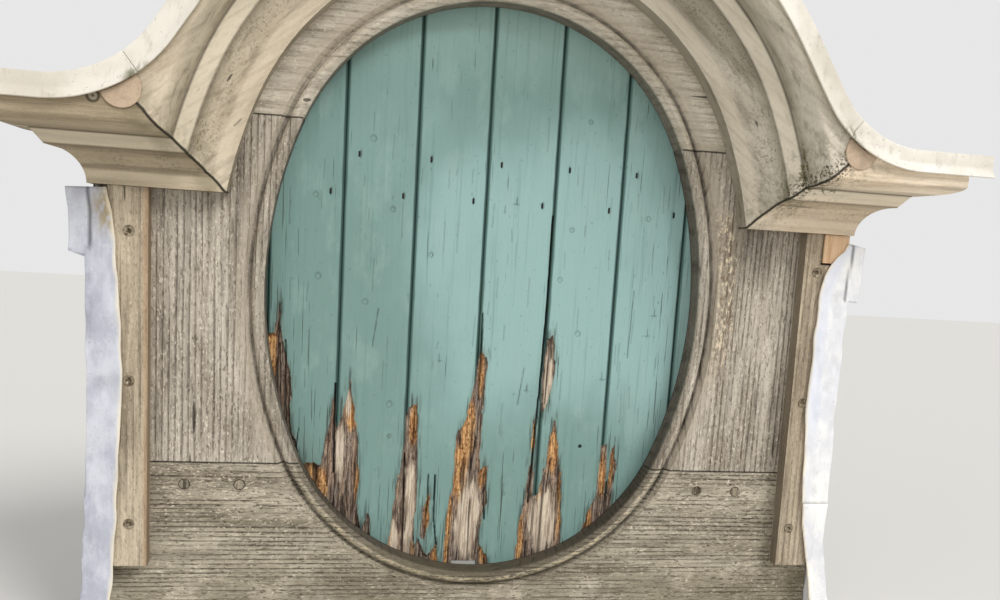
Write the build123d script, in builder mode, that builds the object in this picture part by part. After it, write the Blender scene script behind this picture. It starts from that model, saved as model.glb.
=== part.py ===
from build123d import *
from math import atan2, cos, degrees, radians, sin, sqrt
import os

os.makedirs("parts", exist_ok=True)

# Oval boarded window in a moulded oak frame with a swept hood. Sizes in mm.
# X runs to the right, Y into the wall and Z up. The origin is the middle of the
# four corner fixing screws, on the back face of the frame. Heights named below
# are measured from the oval's centre, and forward distances from the back face.

# Oval opening, four tangent arcs
oval_half_width = 280
oval_half_height = 363
oval_meet_angle = 22.66
oval_above_screws = 116

# Oak frame
frame_depth = 64
frame_half_width = 475
rail_foot = 450
head_cover = 130
head_joint = 206
rail_joint = 218
bead_width = 17
bead_drop = 5
quirk_depth = 12
moulding_width = 24
rebate_depth = 26

# Joints of the frame
tenon_thickness = 20
joint_clearance = 0.3
rail_tenon_width = 110
rail_tenon_length = 60
rail_tenon_place = 333
head_tenon_width = 60
head_tenon_length = 40
head_tenon_place = 315
peg_radius = 6.5
peg_proud = 0.6
peg_broken_depth = 6
peg_back_cover = 4
peg_clearance = 0.1
peg_drop = 28
peg_places = {"left": (371, 305), "right": (300, 356)}

# Hood section: distance out from the opening, and distance forward
hood_foot = 54
hood_hollow = 99
hood_fillet = 118
hood_crest = 134
riser_forward = 90
hollow_forward = 125
fillet_forward = 137
fascia_forward = 182

# Hood outline and returns
return_foot = 111
return_level = 190
sweep_angle = 33.6
sweep_radius = 160
timber_above_edge = 24
return_corner_inset = 25
patch_radius = 21
patch_thickness = 2.5
patch_back = 3

# Metal capping
sheet = 2
drip_kick = 7
drip_height = 9
capping_overhang = 30
capping_joint_angle = 232
capping_gap = 0.5
capping_seat = 0.1

# Cover battens, fixing screws and softwood repair
batten_width = 45
batten_thickness = 20
batten_foot = 345
batten_inset_top = {"left": 65, "right": 63}
batten_inset_foot = {"left": 64, "right": 58}
screw_edge = 43
screw_pitch = 176
screw_radius = 3
screw_shank_radius = 3.4
screw_head_radius = 6.2
screw_head_sink = 0.4
screw_standout = 32
screw_point = 6
screw_clearance = 0.2
repair_width = 36
repair_edge = 1
repair_length = 40
repair_gap = 2

# Side flashings of dressed lead
lead_sheet = 2
lead_top = 108
lead_foot = 420
lead_side_back = 4
lead_lap_height = -255
lead_lap_gap = 0.4

# Boarded leaf
board_pitch = 90.37
board_first_joint = -278.3
board_count = 6
board_thickness = 22
board_gap = 0.4
board_chamfer = 2.6
tongue_thickness = 6
tongue_length = 6
tongue_clearance = 0.3
leaf_lap = 10
leaf_clearance = 3
leaf_seat_gap = 0.3
rot_depth = 7
peep_radius = 2.75
peep_place = (141, -195)
gap_left = -28
gap_right = 8
gap_top = -360

# Ledges and nails
ledge_height = 85
ledge_thickness = 22
ledge_place = 148
ledge_end_margin = 18
ledge_chamfer = 5
nail_thickness = 2.6
nail_width = 7
nail_inset = 17
nail_rise = 24
nail_clearance = 0.15
nail_proud = 0.3
nail_short = 6

# Strap hinges on pintles
hinge_x = -322
hinge_pin_radius = 6
hinge_pin_clearance = 0.08
hinge_pin_above = 3
eye_wall = 4
eye_height = 34
eye_rest_gap = 0.3
strap_thickness = 4
strap_tip_height = 22
strap_length = 270
strap_screw_end = 24
strap_screw_step = 70
pintle_plate_thickness = 5
pintle_plate_half_width = 28
pintle_plate_up = 34
pintle_plate_down = 58
pintle_lug_height = 14
plate_screw_side = 8
plate_screw_end = 10

# Slide bolt and keeper
bolt_height = 0
bolt_radius = 4.5
bolt_clearance = 0.08
bolt_standoff = 6.5
bolt_rest_tip = 288
bolt_length = 110
bolt_knob_back = 76
bolt_knob_radius = 6
bolt_knob_reach = 20
bolt_stem_radius = 2.5
bolt_plate_start = 186
bolt_plate_length = 92
bolt_plate_half_height = 18
bolt_plate_thickness = 3
guide_width = 8
guide_half_height = 8
guide_end_margin = 5
guide_wall = 3
keeper_start = 301
keeper_width = 22
keeper_half_height = 30
keeper_bridge_half = 11
keeper_wall = 3
keeper_clearance = 1.5

# Small screws of the ironwork
iron_screw_radius = 2
iron_screw_length = 16
iron_head_radius = 4
iron_head_height = 1.8
iron_screw_clearance = 0.3

# Values that follow from the sizes above
arc_step = (oval_half_height - oval_half_width) / (
    sin(radians(oval_meet_angle)) + cos(radians(oval_meet_angle)) - 1
)
side_centre = arc_step * cos(radians(oval_meet_angle))
end_centre = arc_step * sin(radians(oval_meet_angle))
side_radius = oval_half_width + side_centre
end_radius = oval_half_height - end_centre
hood_depth = fascia_forward - frame_depth
mitre_x = sqrt((side_radius + hood_foot) ** 2 - return_foot**2) - side_centre
sweep_centre_z = return_level + sweep_radius
sweep_centre_x = (
    end_radius
    + hood_crest
    + sweep_radius
    - (sweep_centre_z - end_centre) * sin(radians(sweep_angle))
) / cos(radians(sweep_angle))
return_corner = frame_half_width - return_corner_inset
return_end = return_corner + hood_depth
capping_reach = return_end + capping_overhang
mitre_to_sweep = mitre_x - sweep_centre_x + return_foot - sweep_centre_z
sweep_offsets = (mitre_x - sweep_centre_x) ** 2 + (return_foot - sweep_centre_z) ** 2
mitre_length = (
    -mitre_to_sweep - sqrt(mitre_to_sweep**2 - 2 * (sweep_offsets - sweep_radius**2))
) / 2
screw_span = 2 * (frame_half_width - screw_edge)
repair_outer = frame_half_width - repair_edge
repair_inner = repair_outer - repair_width
leaf_front = rebate_depth - leaf_seat_gap
leaf_back = leaf_front - board_thickness
batten_face = frame_depth + batten_thickness
ledge_back = leaf_back - ledge_thickness
strap_back = ledge_back - strap_thickness
hinge_forward = ledge_back - strap_thickness / 2
eye_radius = hinge_pin_radius + hinge_pin_clearance + eye_wall
bolt_forward = leaf_back - bolt_plate_thickness - bolt_standoff
all_round = 2 * (oval_half_height + frame_half_width)


def front(forward):
    """Plane that faces out of the front, some way forward of the back face."""
    return Plane(origin=(0, -forward, oval_above_screws), x_dir=(1, 0, 0), z_dir=(0, -1, 0))


def level(height):
    """Plane that faces up, at a height above the oval's centre."""
    return Plane.XY.offset(oval_above_screws + height)


def oval(grow):
    """Face of the opening's oval, grown outwards by a width."""
    side = 2 * oval_meet_angle
    end = 180 - side
    with BuildSketch() as face:
        with BuildLine():
            CenterArc((0, end_centre), end_radius + grow, oval_meet_angle, end)
            CenterArc((side_centre, 0), side_radius + grow, 180 - oval_meet_angle, side)
            CenterArc((0, -end_centre), end_radius + grow, 180 + oval_meet_angle, end)
            CenterArc((-side_centre, 0), side_radius + grow, -oval_meet_angle, side)
        make_face()
    return face.sketch


def ring(section):
    """Solid of a section swept right round the opening.

    The section is drawn with its distance out from the opening and its distance
    forward of the back face, and turned about the centre of each of the four arcs.
    """
    side = 2 * oval_meet_angle
    end = 180 - side
    centres = [
        (-side_centre, 0, side_radius, -oval_meet_angle, side),
        (0, end_centre, end_radius, oval_meet_angle, end),
        (side_centre, 0, side_radius, 180 - oval_meet_angle, side),
        (0, -end_centre, end_radius, 180 + oval_meet_angle, end),
    ]
    with BuildPart() as swept:
        for x, z, radius, start, turn in centres:
            out = (cos(radians(start)), 0, sin(radians(start)))
            along = (-sin(radians(start)), 0, cos(radians(start)))
            middle = (x, 0, z + oval_above_screws)
            cut = Plane(origin=middle, x_dir=out, z_dir=(-along[0], 0, -along[2]))
            with BuildSketch(cut):
                with Locations((radius, 0)):
                    add(section)
            revolve(axis=Axis(middle, (0, -1, 0)), revolution_arc=turn)
    return swept.part


def hood_face(grow):
    """Face of all that lies under the hood's swept outline, grown by a width."""
    turn = radians(sweep_angle)
    crown = end_radius + hood_crest + grow
    bend = sweep_radius - grow
    reach = capping_reach + grow
    with BuildSketch() as face:
        with BuildLine():
            CenterArc((0, end_centre), crown, sweep_angle, 90 - sweep_angle)
            Line(
                (crown * cos(turn), end_centre + crown * sin(turn)),
                (sweep_centre_x - bend * cos(turn), sweep_centre_z - bend * sin(turn)),
            )
            CenterArc((sweep_centre_x, sweep_centre_z), bend, 180 + sweep_angle, 90 - sweep_angle)
            Line((sweep_centre_x, return_level + grow), (reach, return_level + grow))
            Polyline((reach, return_level + grow), (reach, -rail_foot), (0, -rail_foot))
            Line((0, -rail_foot), (0, end_centre + crown))
        make_face()
        mirror(about=Plane.YZ)
    return face.sketch


def mitre_rise(out):
    """Height above the return's foot at which an arch line meets the mitre."""
    start = mitre_x + side_centre
    total = start + return_foot
    gain = (side_radius + out) ** 2 - (side_radius + hood_foot) ** 2
    return (-total + sqrt(total**2 + 2 * gain)) / 2


def below_mitres():
    """Face of all that lies under the two mitre lines of the hood."""
    with BuildSketch() as face:
        with BuildLine():
            Polyline(
                (mitre_x - all_round, return_foot - all_round),
                (mitre_x + all_round, return_foot + all_round),
                (mitre_x + all_round, return_foot - all_round),
                close=True,
            )
        make_face()
        mirror(about=Plane.YZ)
    return face.sketch


def arch_cutter():
    """Section of the space in front of the arch's moulding."""
    with BuildSketch() as face:
        with BuildLine():
            Polyline(
                (hood_crest, fascia_forward),
                (hood_crest, fascia_forward + 1),
                (hood_foot - 1, fascia_forward + 1),
                (hood_foot - 1, riser_forward),
                (hood_foot, riser_forward),
            )
            EllipticalCenterArc(
                (hood_foot, hollow_forward),
                hood_hollow - hood_foot,
                hollow_forward - riser_forward,
                start_angle=270,
                arc_size=90,
            )
            Line((hood_hollow, hollow_forward), (hood_fillet, fillet_forward))
            EllipticalCenterArc(
                (hood_crest, fillet_forward),
                hood_crest - hood_fillet,
                fascia_forward - fillet_forward,
                start_angle=90,
                arc_size=90,
            )
        make_face()
    return face.sketch


def return_face(back):
    """Section of a return, drawn with its forward distance and its height."""
    hollow = return_foot + mitre_rise(hood_hollow)
    fillet = return_foot + mitre_rise(hood_fillet)
    crest = return_foot + mitre_rise(hood_crest)
    top = return_level + all_round
    with BuildSketch() as face:
        with BuildLine():
            Polyline((riser_forward, return_foot), (back, return_foot), (back, top))
            Polyline((back, top), (fascia_forward, top), (fascia_forward, crest))
            EllipticalCenterArc(
                (fillet_forward, crest),
                fascia_forward - fillet_forward,
                crest - fillet,
                start_angle=270,
                arc_size=90,
            )
            Line((fillet_forward, fillet), (hollow_forward, hollow))
            EllipticalCenterArc(
                (hollow_forward, return_foot),
                hollow_forward - riser_forward,
                hollow - return_foot,
                start_angle=90,
                arc_size=90,
            )
        make_face()
    return face.sketch


def finish(part, name):
    """Label a piece and write it to its own file."""
    part.label = name
    export_step(part, f"parts/{name}.step")


def mirrored(part):
    """The same piece for the other side of the window."""
    with BuildPart() as other:
        add(part)
        mirror(about=Plane.YZ, mode=Mode.REPLACE)
    return other.part


# Ironwork screws

strap_start = hinge_x + strap_length
strap_screw_xs = [strap_start - strap_screw_end - k * strap_screw_step for k in range(3)]
strap_screw_spots = [(x, side * ledge_place) for side in (-1, 1) for x in strap_screw_xs]
plate_screw_x = pintle_plate_half_width - plate_screw_side
pintle_screw_spots = [
    (hinge_x + across * plate_screw_x, side * ledge_place + up)
    for side in (-1, 1)
    for across in (-1, 1)
    for up in (pintle_plate_up - plate_screw_end, plate_screw_end - pintle_plate_down)
]
guide_xs = [
    bolt_plate_start + guide_end_margin + guide_width / 2,
    bolt_plate_start + bolt_plate_length - guide_end_margin - guide_width / 2,
]
bolt_screw_spots = [
    (x, bolt_height + side * (guide_half_height + iron_head_radius + 1))
    for x in guide_xs
    for side in (-1, 1)
]
keeper_middle = keeper_start + keeper_width / 2
keeper_screw_z = (keeper_half_height + keeper_bridge_half) / 2
keeper_screw_spots = [(keeper_middle, bolt_height + side * keeper_screw_z) for side in (-1, 1)]


def screws(spots, seat, grow):
    """Round-headed screws driven from behind, or their holes if grown."""
    with BuildPart() as group:
        with Locations(front(seat)):
            with Locations(*spots):
                Cylinder(
                    iron_screw_radius + grow,
                    iron_screw_length + grow,
                    align=(Align.CENTER, Align.CENTER, Align.MIN),
                )
                if grow == 0:
                    Cylinder(
                        iron_head_radius,
                        iron_head_height,
                        align=(Align.CENTER, Align.CENTER, Align.MAX),
                    )
    return group.part


strap_holes = screws(strap_screw_spots, strap_back, iron_screw_clearance)
pintle_holes = screws(pintle_screw_spots, -pintle_plate_thickness, iron_screw_clearance)
bolt_holes = screws(bolt_screw_spots, leaf_back - bolt_plate_thickness, iron_screw_clearance)
keeper_holes = screws(keeper_screw_spots, -keeper_wall, iron_screw_clearance)
finish(screws(strap_screw_spots, strap_back, 0), "strap_screws")
finish(screws(pintle_screw_spots, -pintle_plate_thickness, 0), "pintle_screws")
finish(screws(bolt_screw_spots, leaf_back - bolt_plate_thickness, 0), "bolt_screws")
finish(screws(keeper_screw_spots, -keeper_wall, 0), "keeper_screws")

# Frame

peg_spots = [
    (side * place, -rail_joint - peg_drop)
    for side, name in ((-1, "left"), (1, "right"))
    for place in peg_places[name]
]
broken_peg = 2
screw_spots = [
    (side * screw_span / 2, row * screw_pitch - oval_above_screws)
    for side in (-1, 1)
    for row in (-1, 0, 1)
]

with BuildSketch() as bead_cut:
    with BuildLine():
        Polyline(
            (-1, frame_depth - bead_drop),
            (-1, frame_depth + 1),
            (moulding_width, frame_depth + 1),
            (moulding_width, frame_depth),
            (bead_width + 1, frame_depth - quirk_depth),
            (bead_width, frame_depth - quirk_depth),
        )
        Line((-1, frame_depth - bead_drop), (0, frame_depth - bead_drop))
        ThreePointArc(
            (0, frame_depth - bead_drop),
            (bead_width * 0.42, frame_depth - bead_drop * 0.5),
            (bead_width, frame_depth - quirk_depth),
        )
    make_face()

with BuildPart() as frame_blank:
    with BuildSketch(front(0)):
        with Locations((0, (head_joint - rail_foot) / 2)):
            Rectangle(2 * frame_half_width, head_joint + rail_foot)
        with BuildSketch(mode=Mode.PRIVATE) as head_outline:
            add(oval(head_cover))
            with Locations((0, head_joint - all_round / 2)):
                Rectangle(all_round, all_round, mode=Mode.SUBTRACT)
        add(head_outline.sketch)
        add(oval(0), mode=Mode.SUBTRACT)
    extrude(amount=frame_depth)
    with BuildSketch(front(0)):
        add(oval(leaf_lap + leaf_clearance))
    extrude(amount=rebate_depth, mode=Mode.SUBTRACT)
    add(ring(bead_cut.sketch), mode=Mode.SUBTRACT)
    with Locations(front(0)):
        with Locations(*screw_spots):
            Cylinder(
                screw_shank_radius + screw_clearance,
                frame_depth,
                align=(Align.CENTER, Align.CENTER, Align.MIN),
                mode=Mode.SUBTRACT,
            )


def tenon(place, width, start, length, grow):
    """A tenon in the middle of the frame's thickness, or its mortise if grown."""
    with BuildPart() as block:
        with BuildSketch(front((frame_depth - tenon_thickness) / 2 - grow)):
            with Locations((place, start)):
                Rectangle(width + 2 * grow, length + grow, align=(Align.CENTER, Align.MIN))
        extrude(amount=tenon_thickness + 2 * grow)
    return block.part


def foot_tenon(side, grow):
    """Tenon of a jamb in the bottom rail."""
    start = -rail_joint - rail_tenon_length - grow
    return tenon(side * rail_tenon_place, rail_tenon_width, start, rail_tenon_length, grow)


def top_tenon(side, grow):
    """Tenon of a jamb in the head."""
    return tenon(side * head_tenon_place, head_tenon_width, head_joint, head_tenon_length, grow)


with BuildPart() as frame_head:
    add(frame_blank.part)
    split(bisect_by=level(head_joint), keep=Keep.TOP)
    for side in (-1, 1):
        add(top_tenon(side, joint_clearance), mode=Mode.SUBTRACT)
finish(frame_head.part, "frame_head")

with BuildPart() as bottom_rail:
    add(frame_blank.part)
    split(bisect_by=level(-rail_joint), keep=Keep.BOTTOM)
    for side in (-1, 1):
        add(foot_tenon(side, joint_clearance), mode=Mode.SUBTRACT)
    with Locations(front(0)):
        with Locations(*peg_spots):
            Cylinder(
                peg_radius + peg_clearance,
                frame_depth,
                align=(Align.CENTER, Align.CENTER, Align.MIN),
                mode=Mode.SUBTRACT,
            )
finish(bottom_rail.part, "bottom_rail")

for side, name in ((-1, "jamb_left"), (1, "jamb_right")):
    with BuildPart() as jamb:
        add(frame_blank.part)
        split(bisect_by=level(head_joint), keep=Keep.BOTTOM)
        split(bisect_by=level(-rail_joint), keep=Keep.TOP)
        split(bisect_by=Plane.YZ, keep=Keep.TOP if side > 0 else Keep.BOTTOM)
        add(top_tenon(side, 0))
        add(foot_tenon(side, 0))
        with Locations(front(0)):
            with Locations(*peg_spots):
                Cylinder(
                    peg_radius + peg_clearance,
                    frame_depth,
                    align=(Align.CENTER, Align.CENTER, Align.MIN),
                    mode=Mode.SUBTRACT,
                )
        add(pintle_holes if side < 0 else keeper_holes, mode=Mode.SUBTRACT)
    finish(jamb.part, name)

with BuildPart() as frame_pegs:
    for index, spot in enumerate(peg_spots):
        end = -peg_broken_depth if index == broken_peg else peg_proud
        with Locations(front(peg_back_cover)):
            with Locations(spot):
                Cylinder(
                    peg_radius,
                    frame_depth + end - peg_back_cover,
                    align=(Align.CENTER, Align.CENTER, Align.MIN),
                )
finish(frame_pegs.part, "frame_pegs")

# Hood

with BuildPart() as hood_arch:
    with BuildSketch(front(frame_depth)):
        add(hood_face(timber_above_edge))
        add(oval(hood_foot), mode=Mode.SUBTRACT)
        add(below_mitres(), mode=Mode.SUBTRACT)
    extrude(amount=hood_depth)
    add(ring(arch_cutter()), mode=Mode.SUBTRACT)

for name, keep in (("hood_arch_right", Keep.TOP), ("hood_arch_left", Keep.BOTTOM)):
    with BuildPart() as arch_half:
        add(hood_arch.part)
        split(bisect_by=Plane.YZ, keep=keep)
    finish(arch_half.part, name)

return_side = Plane(
    origin=(return_end + 1, 0, oval_above_screws), x_dir=(0, -1, 0), z_dir=(-1, 0, 0)
)
with BuildPart() as return_right:
    with BuildSketch(return_side):
        add(return_face(frame_depth))
    extrude(amount=return_end - mitre_x + 1)
    with BuildSketch(front(frame_depth)):
        with Locations((return_corner - frame_depth, 0)):
            add(return_face(frame_depth - return_corner))
        add(hood_face(timber_above_edge), mode=Mode.INTERSECT)
        add(below_mitres(), mode=Mode.INTERSECT)
    extrude(amount=hood_depth, mode=Mode.INTERSECT)
finish(return_right.part, "return_right")
return_left = mirrored(return_right.part)
finish(return_left, "return_left")

with BuildPart() as patch_right:
    with BuildSketch(front(fascia_forward)):
        along = mitre_length - patch_back
        with Locations((mitre_x + along, return_foot + along)):
            Circle(patch_radius)
        add(hood_face(0), mode=Mode.INTERSECT)
    extrude(amount=patch_thickness)
finish(patch_right.part, "corner_patch_right")
finish(mirrored(patch_right.part), "corner_patch_left")

# Metal capping


def capping_section():
    """Section of the capping: top sheet, front drip and kicked lower edge.

    It is drawn with its distance out from the timber's edge and its distance forward.
    """
    inside = fascia_forward + capping_seat
    face = inside + sheet
    top = capping_seat + sheet
    bend = drip_height - timber_above_edge
    foot = -timber_above_edge
    with BuildSketch() as section:
        with BuildLine():
            Polyline(
                (capping_seat, frame_depth),
                (top, frame_depth),
                (top, face),
                (bend, face),
                (foot, face + drip_kick),
                (foot - sheet / 2, face + drip_kick - sheet),
                (bend - sheet / 2, inside),
                (capping_seat, inside),
                close=True,
            )
        make_face()
    return section.sketch


def capping_plane(angle):
    """Plane across the capping's path, at an angle round the swept corner."""
    bend = sweep_radius - timber_above_edge
    out = (-cos(radians(angle)), 0, -sin(radians(angle)))
    spot = (sweep_centre_x - bend * out[0], 0, oval_above_screws + sweep_centre_z - bend * out[2])
    return Plane(origin=spot, x_dir=out, z_dir=(out[2], 0, -out[0]))


timber_bend = sweep_radius - timber_above_edge
timber_crown = end_radius + hood_crest + timber_above_edge
turn = radians(sweep_angle)
joint_turn = degrees(capping_gap / timber_bend)

with BuildPart() as arch_capping:
    with BuildLine(front(0)) as arch_path:
        CenterArc(
            (sweep_centre_x, sweep_centre_z),
            timber_bend,
            capping_joint_angle,
            180 + sweep_angle - capping_joint_angle,
        )
        Line(
            (sweep_centre_x - timber_bend * cos(turn), sweep_centre_z - timber_bend * sin(turn)),
            (timber_crown * cos(turn), end_centre + timber_crown * sin(turn)),
        )
        CenterArc((0, end_centre), timber_crown, sweep_angle, 180 - 2 * sweep_angle)
        Line(
            (-timber_crown * cos(turn), end_centre + timber_crown * sin(turn)),
            (timber_bend * cos(turn) - sweep_centre_x, sweep_centre_z - timber_bend * sin(turn)),
        )
        CenterArc(
            (-sweep_centre_x, sweep_centre_z),
            timber_bend,
            -sweep_angle,
            180 + sweep_angle - capping_joint_angle,
        )
    with BuildSketch(capping_plane(capping_joint_angle)):
        add(capping_section())
    sweep(path=arch_path.wire())
finish(arch_capping.part, "arch_capping")

with BuildPart() as return_capping:
    start = capping_joint_angle + joint_turn
    with BuildLine(front(0)) as return_path:
        CenterArc((sweep_centre_x, sweep_centre_z), timber_bend, start, 270 - start)
        Line(
            (sweep_centre_x, return_level + timber_above_edge),
            (capping_reach, return_level + timber_above_edge),
        )
    with BuildSketch(capping_plane(start)):
        add(capping_section())
    sweep(path=return_path.wire())
finish(return_capping.part, "return_capping_right")
finish(mirrored(return_capping.part), "return_capping_left")

# Cover battens, screws and softwood repair

for side, name in ((-1, "left"), (1, "right")):
    inner_top = frame_half_width - batten_inset_top[name]
    inner_foot = frame_half_width - batten_inset_foot[name]
    with BuildPart() as batten:
        with BuildSketch(front(frame_depth)):
            with BuildLine():
                Polyline(
                    (side * inner_top, return_foot),
                    (side * (inner_top + batten_width), return_foot),
                    (side * (inner_foot + batten_width), -batten_foot),
                    (side * inner_foot, -batten_foot),
                    close=True,
                )
            make_face()
            if name == "right":
                with Locations((repair_inner - repair_gap, return_foot)):
                    Rectangle(
                        batten_width,
                        repair_length,
                        align=(Align.MIN, Align.MAX),
                        mode=Mode.SUBTRACT,
                    )
        extrude(amount=batten_thickness)
        with Locations(front(batten_face)):
            with Locations(*[spot for spot in screw_spots if spot[0] * side > 0]):
                CounterSinkHole(
                    screw_shank_radius + screw_clearance,
                    screw_head_radius + screw_head_sink + screw_clearance,
                    depth=batten_thickness,
                    counter_sink_angle=90,
                )
    finish(batten.part, f"batten_{name}")

with BuildPart() as repair_strip:
    with BuildSketch(front(frame_depth)):
        with Locations((repair_inner, return_foot)):
            Rectangle(
                repair_outer - repair_inner, repair_length - repair_gap, align=(Align.MIN, Align.MAX)
            )
    extrude(amount=batten_thickness)
finish(repair_strip.part, "repair_strip_right")

screw_cone = screw_head_radius - screw_shank_radius
with BuildPart() as fixing_screws:
    with Locations(front(-screw_standout)):
        with Locations(*screw_spots):
            Cylinder(
                screw_radius, screw_standout, align=(Align.CENTER, Align.CENTER, Align.MIN)
            )
            Cone(
                screw_radius / 4,
                screw_radius,
                screw_point,
                align=(Align.CENTER, Align.CENTER, Align.MAX),
            )
    with Locations(front(0)):
        with Locations(*screw_spots):
            Cylinder(
                screw_shank_radius,
                batten_face - screw_head_sink - screw_cone,
                align=(Align.CENTER, Align.CENTER, Align.MIN),
            )
    with Locations(front(batten_face - screw_head_sink - screw_cone)):
        with Locations(*screw_spots):
            Cone(
                screw_shank_radius,
                screw_head_radius,
                screw_cone,
                align=(Align.CENTER, Align.CENTER, Align.MIN),
            )
finish(fixing_screws.part, "fixing_screws")

# Side flashings: a front flange with a hand-dressed edge, and a side turned back.
# Their edges are given as the distance out from the frame's side, and the height.


def flashing(side, inner, outer, low, high):
    """Lead strip from its inner and outer edges, with its side turned back."""
    inner_edge = [(side * (frame_half_width + out), height) for out, height in inner]
    outer_edge = [(side * (frame_half_width + out), height) for out, height in outer]
    with BuildPart() as strip:
        with BuildSketch(front(batten_face)):
            with BuildLine():
                Spline(*inner_edge)
                Line(inner_edge[-1], outer_edge[-1])
                Polyline(*outer_edge)
                Line(outer_edge[0], inner_edge[0])
            make_face()
        extrude(amount=lead_sheet)
        with BuildSketch(front(lead_side_back)):
            with Locations((side * (frame_half_width + lead_sheet / 2), low)):
                Rectangle(lead_sheet, high - low, align=(Align.CENTER, Align.MIN))
        extrude(amount=batten_face + lead_sheet - lead_side_back)
    return strip.part


lap_top = lead_lap_height
lap_below = lead_lap_height - lead_lap_gap
left_inner = [(-21, lead_top), (-30, 30), (-36, -80), (-33, -200), (-29, -290), (-20, -lead_foot)]
left_outer = [(23, lead_top - 2), (21, 34), (3, 28), (3, -200), (7, -283), (13, -lead_foot)]
right_upper_inner = [(-10, 90), (-34, 55), (-38, -6), (-39, -90), (-35, -180), (-29, lap_top)]
right_upper_outer = [(-5, 101), (19, 96), (17, 23), (3, 24), (4, -125), (8, lap_top)]
right_lower_inner = [(-29, lap_below), (-23, -300), (-12, -348), (3, -lead_foot)]
right_lower_outer = [(8, lap_below), (7, -307), (15, -350), (33, -lead_foot)]

side_flashing_left = flashing(-1, left_inner, left_outer, -lead_foot, lead_top - 8)
finish(side_flashing_left, "side_flashing_left")
flashing_right_upper = flashing(1, right_upper_inner, right_upper_outer, lap_top, 80)
finish(flashing_right_upper, "side_flashing_right_upper")
flashing_right_lower = flashing(1, right_lower_inner, right_lower_outer, -lead_foot, lap_below)
finish(flashing_right_lower, "side_flashing_right_lower")

# Rot: outlines of the broken faces of the boards, about the oval's centre

rot_left_edge = [(-292, -60), (-262, -20), (-257, -63), (-248, -117), (-247, -172), (-233, -222), (-292, -230)]
rot_joint_1 = [
    (-192, -141),
    (-188, -175),
    (-178, -160),
    (-172, -114),
    (-163, -175),
    (-156, -247),
    (-159, -279),
    (-150, -330),
    (-200, -330),
    (-240, -250),
    (-225, -224),
    (-206, -230),
    (-200, -190),
]
rot_joint_2 = [
    (-97, -150),
    (-90, -147),
    (-84, -142),
    (-81, -200),
    (-79, -257),
    (-81, -322),
    (-64, -318),
    (-48, -340),
    (-43, -385),
    (-116, -385),
    (-115, -342),
    (-110, -260),
    (-100, -222),
]
rot_joint_3 = [
    (-1, -95),
    (4, -97),
    (0, -150),
    (1, -234),
    (13, -238),
    (18, -277),
    (10, -298),
    (9, -335),
    (20, -356),
    (22, -385),
    (-44, -385),
    (-38, -342),
    (-37, -305),
    (-29, -238),
    (-30, -189),
    (-19, -161),
]
rot_joint_4 = [
    (76, -183),
    (81, -230),
    (84, -268),
    (90, -262),
    (96, -215),
    (101, -158),
    (110, -207),
    (118, -246),
    (122, -327),
    (110, -385),
    (60, -385),
    (62, -305),
    (72, -276),
    (71, -218),
]
rot_strip_4 = [(84, -55), (93, -44), (98, -80), (95, -120), (88, -152), (84, -120)]
rot_joint_5 = [
    (172, -195),
    (180, -191),
    (181, -240),
    (187, -190),
    (193, -192),
    (194, -262),
    (190, -320),
    (150, -320),
    (160, -285),
    (172, -258),
]
rot_outlines = [
    rot_left_edge,
    rot_joint_1,
    rot_joint_2,
    rot_joint_3,
    rot_joint_4,
    rot_strip_4,
    rot_joint_5,
]

# Leaf


def joint(index):
    """Place across the leaf of the joint at the left of a board."""
    return board_first_joint + board_pitch * index


def nail_spots(ledge):
    """Two nails a board in a ledge: high by the left joint, low by the right."""
    high = [(joint(k) + nail_inset, ledge + nail_rise) for k in range(1, board_count)]
    low = [(joint(k + 1) - nail_inset, ledge - nail_rise) for k in range(board_count)]
    return high + low


nail_groups = [
    (nail_spots(ledge_place), leaf_front + nail_proud),
    (nail_spots(-ledge_place), leaf_front - nail_short),
]


def nails(grow):
    """All the nails of the leaf, or their slots if grown."""
    with BuildPart() as group:
        for spots, tip in nail_groups:
            with BuildSketch(front(ledge_back)):
                with Locations(*spots):
                    Rectangle(nail_thickness + 2 * grow, nail_width + 2 * grow)
            extrude(amount=tip - ledge_back + grow)
    return group.part


nail_slots = nails(nail_clearance)
tongue_back = leaf_back + (board_thickness - tongue_thickness) / 2
groove_grow = 2 * tongue_clearance

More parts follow.
